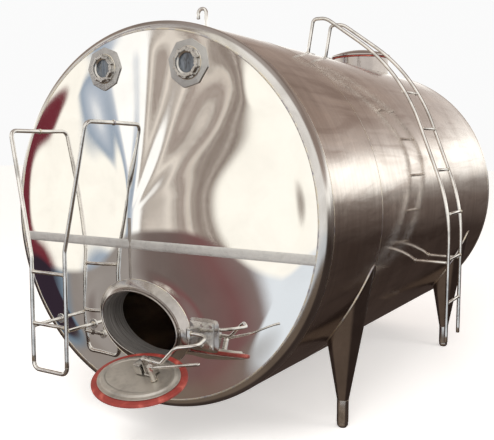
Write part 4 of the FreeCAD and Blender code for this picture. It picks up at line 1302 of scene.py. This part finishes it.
class MILKTANK_OT_vent(TankOperator, bpy.types.Operator):
    """Builds the gooseneck breather and its collar"""
    bl_idname = "milktank.vent"
    bl_label = "Vent"

    def build(self, sheets, tubes, fittings, stage):
        x, y, radius = 0.040, 0.500, tubes.vent_radius
        top = SHELL_R + 0.152 - radius
        corners = [tank(x, y, SHELL_R - 0.006), tank(x, y, top), tank(x - 0.058, y, top),
                   tank(x - 0.058, y, top - 0.060)]
        collar = turned(tank(x, y, SHELL_R - 0.004), Z_AXIS,
                        [(0.006, 0), (0.028, 0), (0.028, 0.010), (0.0265, 0.012), (0.006, 0.012)], 40)
        piece("vent_gooseneck_pipe", [tube(corners, (0.028, 0.028), radius), collar], "tank",
              paint("tube"), ("vent_gooseneck",), 35)
        ring = circle(tank(x, y, SHELL_R + 0.0082), X_AXIS, Y_AXIS, radius + 0.001, 32)
        piece("vent_weld", [weld_bead(ring, tubes.bead_radius, closed=True)], "tank",
              paint("bead"))


class MILKTANK_OT_legs(TankOperator, bpy.types.Operator):
    """Builds the four cone legs, trimmed by the shell, with their stub pipes and round feet"""
    bl_idname = "milktank.legs"
    bl_label = "Legs"

    def build(self, sheets, tubes, fittings, stage):
        for end, y in (("front", 0.737), ("rear", 2.893)):
            for side, x in (("right", 0.876), ("left", -0.876)):
                rows, edge = self.cone(x, y)
                piece(f"cone_leg_{end}_{side}", [solid(rows)], "tank", paint("leg"),
                      (f"leg_cone_{end}_{side}",), 60)
                foot = [(0.010, -1.2950), (0.021, -1.2950), (0.023, -1.2935), (0.0332, -1.2800),
                        (0.034, -1.2770), (0.034, -1.2640), (0.0355, -1.2615), (0.036, -1.2590),
                        (0.036, -1.1235), (0.034, -1.1215), (0.010, -1.1215)]
                piece(f"stub_leg_{end}_{side}", [turned(tank(x, y, 0), Z_AXIS, foot, 56)], "tank",
                      paint("tube"), (f"leg_foot_{end}_{side}",), 30)
                beads = [weld_bead(edge, 0.0042, 0.010, closed=True, seed=3),
                         weld_bead(circle(tank(x, y, -1.1225), X_AXIS, Y_AXIS, 0.0352, 60), 0.0016,
                                   closed=True)]
                piece(f"leg_welds_{end}_{side}", beads, "tank", paint("bead"))

    def cone(self, x, y):
        """Rings of the cone from its foot to where each of its lines meets the shell, and that
        meeting line. A line leaves the shell where (x + r cos a)^2 + z^2 = R^2, found by halving."""
        angle = np.linspace(0, 2 * math.pi, 96, endpoint=False)
        low, top = -1.122, -0.250
        inside, outside = np.full(96, top), np.full(96, low)
        for _ in range(40):
            middle = (inside + outside) / 2
            radius = 0.036 + 0.18 * (middle - low)
            clear = (x + radius * np.cos(angle)) ** 2 + middle ** 2 > SHELL_R ** 2
            outside = np.where(clear, middle, outside)
            inside = np.where(clear, inside, middle)
        share = np.concatenate([[0.0, 0.001], np.linspace(0.01, 1.0, 40)])[:, None]
        z = low + (outside + 0.004 - low) * share
        radius = 0.036 + 0.18 * (z - low) - 0.0008 * (share < 0.0005)
        rows = ORIGIN + np.stack([x + radius * np.cos(angle), y + radius * np.sin(angle), z], -1)
        r = 0.036 + 0.18 * (outside - low) + 0.0008
        edge = ORIGIN + np.stack([x + r * np.cos(angle), y + r * np.sin(angle), outside], -1)
        return rows, edge


class MILKTANK_OT_stage(TankOperator, bpy.types.Operator):
    """Builds the pale floor, the surroundings, two soft lights and the camera"""
    bl_idname = "milktank.stage"
    bl_label = "Stage"

    def build(self, sheets, tubes, fittings, stage):
        mesh = bpy.data.meshes.new("pale_floor")
        side = 60.0
        mesh.from_pydata([(-side, -side, 0), (side, -side, 0), (side, side, 0), (-side, side, 0)], [],
                         [(0, 1, 2, 3)])
        floor = bpy.data.objects.new("pale_floor", mesh)
        mesh.materials.append(paint("floor"))
        floor.visible_glossy = False
        bpy.context.scene.collection.objects.link(floor)
        self.surroundings()
        self.light("key_light", (1.5, -6.5, 6.5), (0, -0.5, 1.2), 5.0, stage.key_power)
        self.light("fill_light", (7.0, 0.5, 5.0), (0.5, 0, 1.3), 4.0, stage.fill_power)
        data = bpy.data.cameras.new("view_camera")
        data.lens = stage.focal
        data.sensor_width = 36.0
        data.clip_end = 200.0
        camera = bpy.data.objects.new("view_camera", data)
        bpy.context.scene.collection.objects.link(camera)
        yaw, pitch, roll = math.radians(31.11), math.radians(5.49), math.radians(-0.18)
        camera.location = (2.4838, -4.6861, 1.6746)
        camera.rotation_mode = "XYZ"
        camera.rotation_euler = (math.pi / 2 - pitch, roll, yaw)
        bpy.context.scene.camera = camera
        bpy.context.scene.view_settings.view_transform = "Standard"

    def light(self, name, place, aim, size, power):
        """Soft square light at a place, facing a point."""
        data = bpy.data.lights.new(name, "AREA")
        data.shape = "SQUARE"
        data.size = size
        data.energy = power
        data.color = (1.0, 0.98, 0.95)
        lamp = bpy.data.objects.new(name, data)
        run = np.asarray(aim, float) - np.asarray(place, float)
        run /= np.linalg.norm(run)
        lamp.location = place
        lamp.rotation_mode = "XYZ"
        lamp.rotation_euler = (math.acos(-run[2]), 0.0, math.atan2(-run[0], run[1]))
        lamp.visible_glossy = False
        bpy.context.scene.collection.objects.link(lamp)

    def surroundings(self):
        """World that the steel reflects, by direction alone. Round about: a bright band above the
        horizon, brown walls over it and dark ground under it. Ahead of the manway head: cream
        and white sky with a blue-grey, a maroon and a slatted brown stretch, over a brown yard that is
        pale at one side. The camera sees plain pale."""
        world = bpy.data.worlds.new("surroundings")
        world.use_nodes = True
        bpy.context.scene.world = world
        tree = world.node_tree
        tree.nodes.clear()

        def node(kind, **values):
            made = tree.nodes.new(kind)
            for key, value in values.items():
                setattr(made, key, value)
            return made

        direction = node("ShaderNodeTexCoord").outputs["Generated"]
        parts = node("ShaderNodeSeparateXYZ")
        tree.links.new(direction, parts.inputs[0])
        def ranged(source, low, high, **values):
            made = node("ShaderNodeMapRange", **values)
            tree.links.new(source, made.inputs[0])
            made.inputs[1].default_value = low
            made.inputs[2].default_value = high
            return made.outputs[0]

        def math_node(operation, first, second, third=None):
            made = node("ShaderNodeMath", operation=operation)
            for socket, value in zip(made.inputs, (first, second, third)):
                if isinstance(value, bpy.types.NodeSocket):
                    tree.links.new(value, socket)
                elif value is not None:
                    socket.default_value = value
            return made.outputs[0]

        def bands(source, *stops):
            made = node("ShaderNodeValToRGB")
            tree.links.new(source, made.inputs[0])
            elements = made.color_ramp.elements
            while len(elements) < len(stops):
                elements.new(0.5)
            for element, (place, tone) in zip(elements, stops):
                element.position = place
                element.color = (*tone, 1)
            return made.outputs[0]

        def mixed(share, first, second):
            made = node("ShaderNodeMix", data_type="RGBA")
            tree.links.new(share, made.inputs[0])
            for socket, value in ((made.inputs[6], first), (made.inputs[7], second)):
                if isinstance(value, bpy.types.NodeSocket):
                    tree.links.new(value, socket)
                else:
                    socket.default_value = (*value, 1)
            return made.outputs[2]

        def noise(source, into, **sockets):
            made = node("ShaderNodeTexNoise")
            made.noise_dimensions = "1D" if into == "W" else "3D"
            tree.links.new(source, made.inputs[into])
            for name, value in sockets.items():
                made.inputs[name].default_value = value
            return made.outputs[0]

        east, north, up = parts.outputs
        uneven = noise(direction, "Vector", Scale=2.6, Detail=2.0)
        height = math_node("MULTIPLY_ADD", uneven, 0.06, ranged(up, -1.0, 1.0))
        around = bands(height, (0.00, (0.055, 0.040, 0.034)), (0.43, (0.045, 0.032, 0.027)),
                       (0.505, (0.15, 0.12, 0.105)), (0.540, (0.34, 0.31, 0.285)),
                       (0.572, (1.25, 1.23, 1.17)), (0.618, (1.45, 1.43, 1.36)),
                       (0.655, (0.62, 0.56, 0.52)), (0.71, (0.36, 0.285, 0.245)),
                       (0.86, (0.27, 0.21, 0.18)), (1.0, (0.45, 0.40, 0.37)))
        turn = math_node("ARCTAN2", east, math_node("MULTIPLY", north, -1.0))
        heading = ranged(turn, math.radians(-60), 0.0)
        drift = math_node("MULTIPLY_ADD", uneven, 0.03, heading)
        cream, white = (0.98, 0.94, 0.85), (1.02, 1.00, 0.96)
        brown, maroon, night = (0.19, 0.145, 0.12), (0.15, 0.026, 0.036), (0.03, 0.02, 0.03)
        yard = bands(drift, (0.0, cream), (0.165, (0.60, 0.64, 0.70)), (0.180, maroon),
                     (0.230, maroon), (0.241, cream), (0.285, cream), (0.300, (0.28, 0.34, 0.42)),
                     (0.325, (0.50, 0.54, 0.60)), (0.338, white), (0.368, white), (0.378, brown),
                     (0.400, (0.80, 0.73, 0.65)), (0.408, brown), (0.430, (0.28, 0.22, 0.19)),
                     (0.438, (0.72, 0.65, 0.57)), (0.446, brown), (0.482, brown), (0.497, cream),
                     (1.0, white))
        ground = bands(drift, (0.0, night), (0.225, night), (0.245, (0.16, 0.22, 0.28)),
                       (0.270, (0.26, 0.23, 0.21)), (0.350, (0.30, 0.27, 0.25)),
                       (0.390, (0.14, 0.105, 0.095)), (0.450, (0.17, 0.08, 0.078)),
                       (0.500, (0.20, 0.15, 0.14)), (0.530, (0.70, 0.74, 0.78)),
                       (1.0, (0.66, 0.70, 0.74)))
        slats = ranged(noise(drift, "W", Scale=240.0, Detail=1.0), 0.54, 0.58)
        wall = bands(drift, (0.0, (0, 0, 0)), (0.368, (0, 0, 0)), (0.380, (0.75, 0.75, 0.75)),
                     (0.480, (0.65, 0.65, 0.65)), (0.492, (0, 0, 0)), (1.0, (0, 0, 0)))
        slatted = mixed(math_node("MULTIPLY", slats, wall), yard, (0.90, 0.83, 0.75))
        soil = mixed(ranged(up, -0.27, -0.36), ground, (0.17, 0.13, 0.10))
        ahead = mixed(ranged(up, -0.130, -0.142), slatted, soil)
        front = ranged(north, -0.12, -0.46, interpolation_type="SMOOTHSTEP")
        shine = node("ShaderNodeBackground")
        tree.links.new(mixed(front, around, ahead), shine.inputs["Color"])
        shine.inputs["Strength"].default_value = 1.12
        pale = node("ShaderNodeBackground")
        pale.inputs["Color"].default_value = (0.96, 0.96, 0.96, 1)
        pale.inputs["Strength"].default_value = 1.0
        ray = node("ShaderNodeLightPath")
        choose = node("ShaderNodeMixShader")
        tree.links.new(ray.outputs["Is Camera Ray"], choose.inputs[0])
        tree.links.new(shine.outputs[0], choose.inputs[1])
        tree.links.new(pale.outputs[0], choose.inputs[2])
        output = node("ShaderNodeOutputWorld")
        tree.links.new(choose.outputs[0], output.inputs[0])


GROUPS = (("milk_tank_sheets", MilkTankSheets), ("milk_tank_tubes", MilkTankTubes),
          ("milk_tank_fittings", MilkTankFittings), ("milk_tank_stage", MilkTankStage))
OPERATORS = (MILKTANK_OT_stage, MILKTANK_OT_heads, MILKTANK_OT_rims, MILKTANK_OT_shell,
             MILKTANK_OT_manway, MILKTANK_OT_door, MILKTANK_OT_gasket, MILKTANK_OT_lever,
             MILKTANK_OT_arm, MILKTANK_OT_hinge, MILKTANK_OT_sights, MILKTANK_OT_stub,
             MILKTANK_OT_front_ladder, MILKTANK_OT_side_ladder, MILKTANK_OT_top_manway,
             MILKTANK_OT_vent, MILKTANK_OT_legs)


class MILKTANK_PT_panel(bpy.types.Panel):
    """Sidebar panel with the settings and one button for each piece or group"""
    bl_idname = "MILKTANK_PT_panel"
    bl_label = "Milk Tank"
    bl_space_type = "VIEW_3D"
    bl_region_type = "UI"
    bl_category = "Milk Tank"

    def draw(self, context):
        for key, group in GROUPS:
            box = self.layout.box()
            box.label(text=group.__doc__.strip("."))
            for name in group.__annotations__:
                box.prop(getattr(context.scene, key), name)
        for operator in OPERATORS:
            self.layout.operator(operator.bl_idname)


def register():
    """Registers the settings, the operators and the panel."""
    for key, group in GROUPS:
        bpy.utils.register_class(group)
        setattr(bpy.types.Scene, key, bpy.props.PointerProperty(type=group))
    for operator in OPERATORS:
        bpy.utils.register_class(operator)
    bpy.utils.register_class(MILKTANK_PT_panel)


def unregister():
    """Takes out everything that register put in."""
    bpy.utils.unregister_class(MILKTANK_PT_panel)
    for operator in reversed(OPERATORS):
        bpy.utils.unregister_class(operator)
    for key, group in reversed(GROUPS):
        delattr(bpy.types.Scene, key)
        bpy.utils.unregister_class(group)


def main():
    """Registers the add-on and builds every group in order."""
    register()
    for operator in OPERATORS:
        group, name = operator.bl_idname.split(".")
        getattr(getattr(bpy.ops, group), name)()


if __name__ == "__main__":
    main()
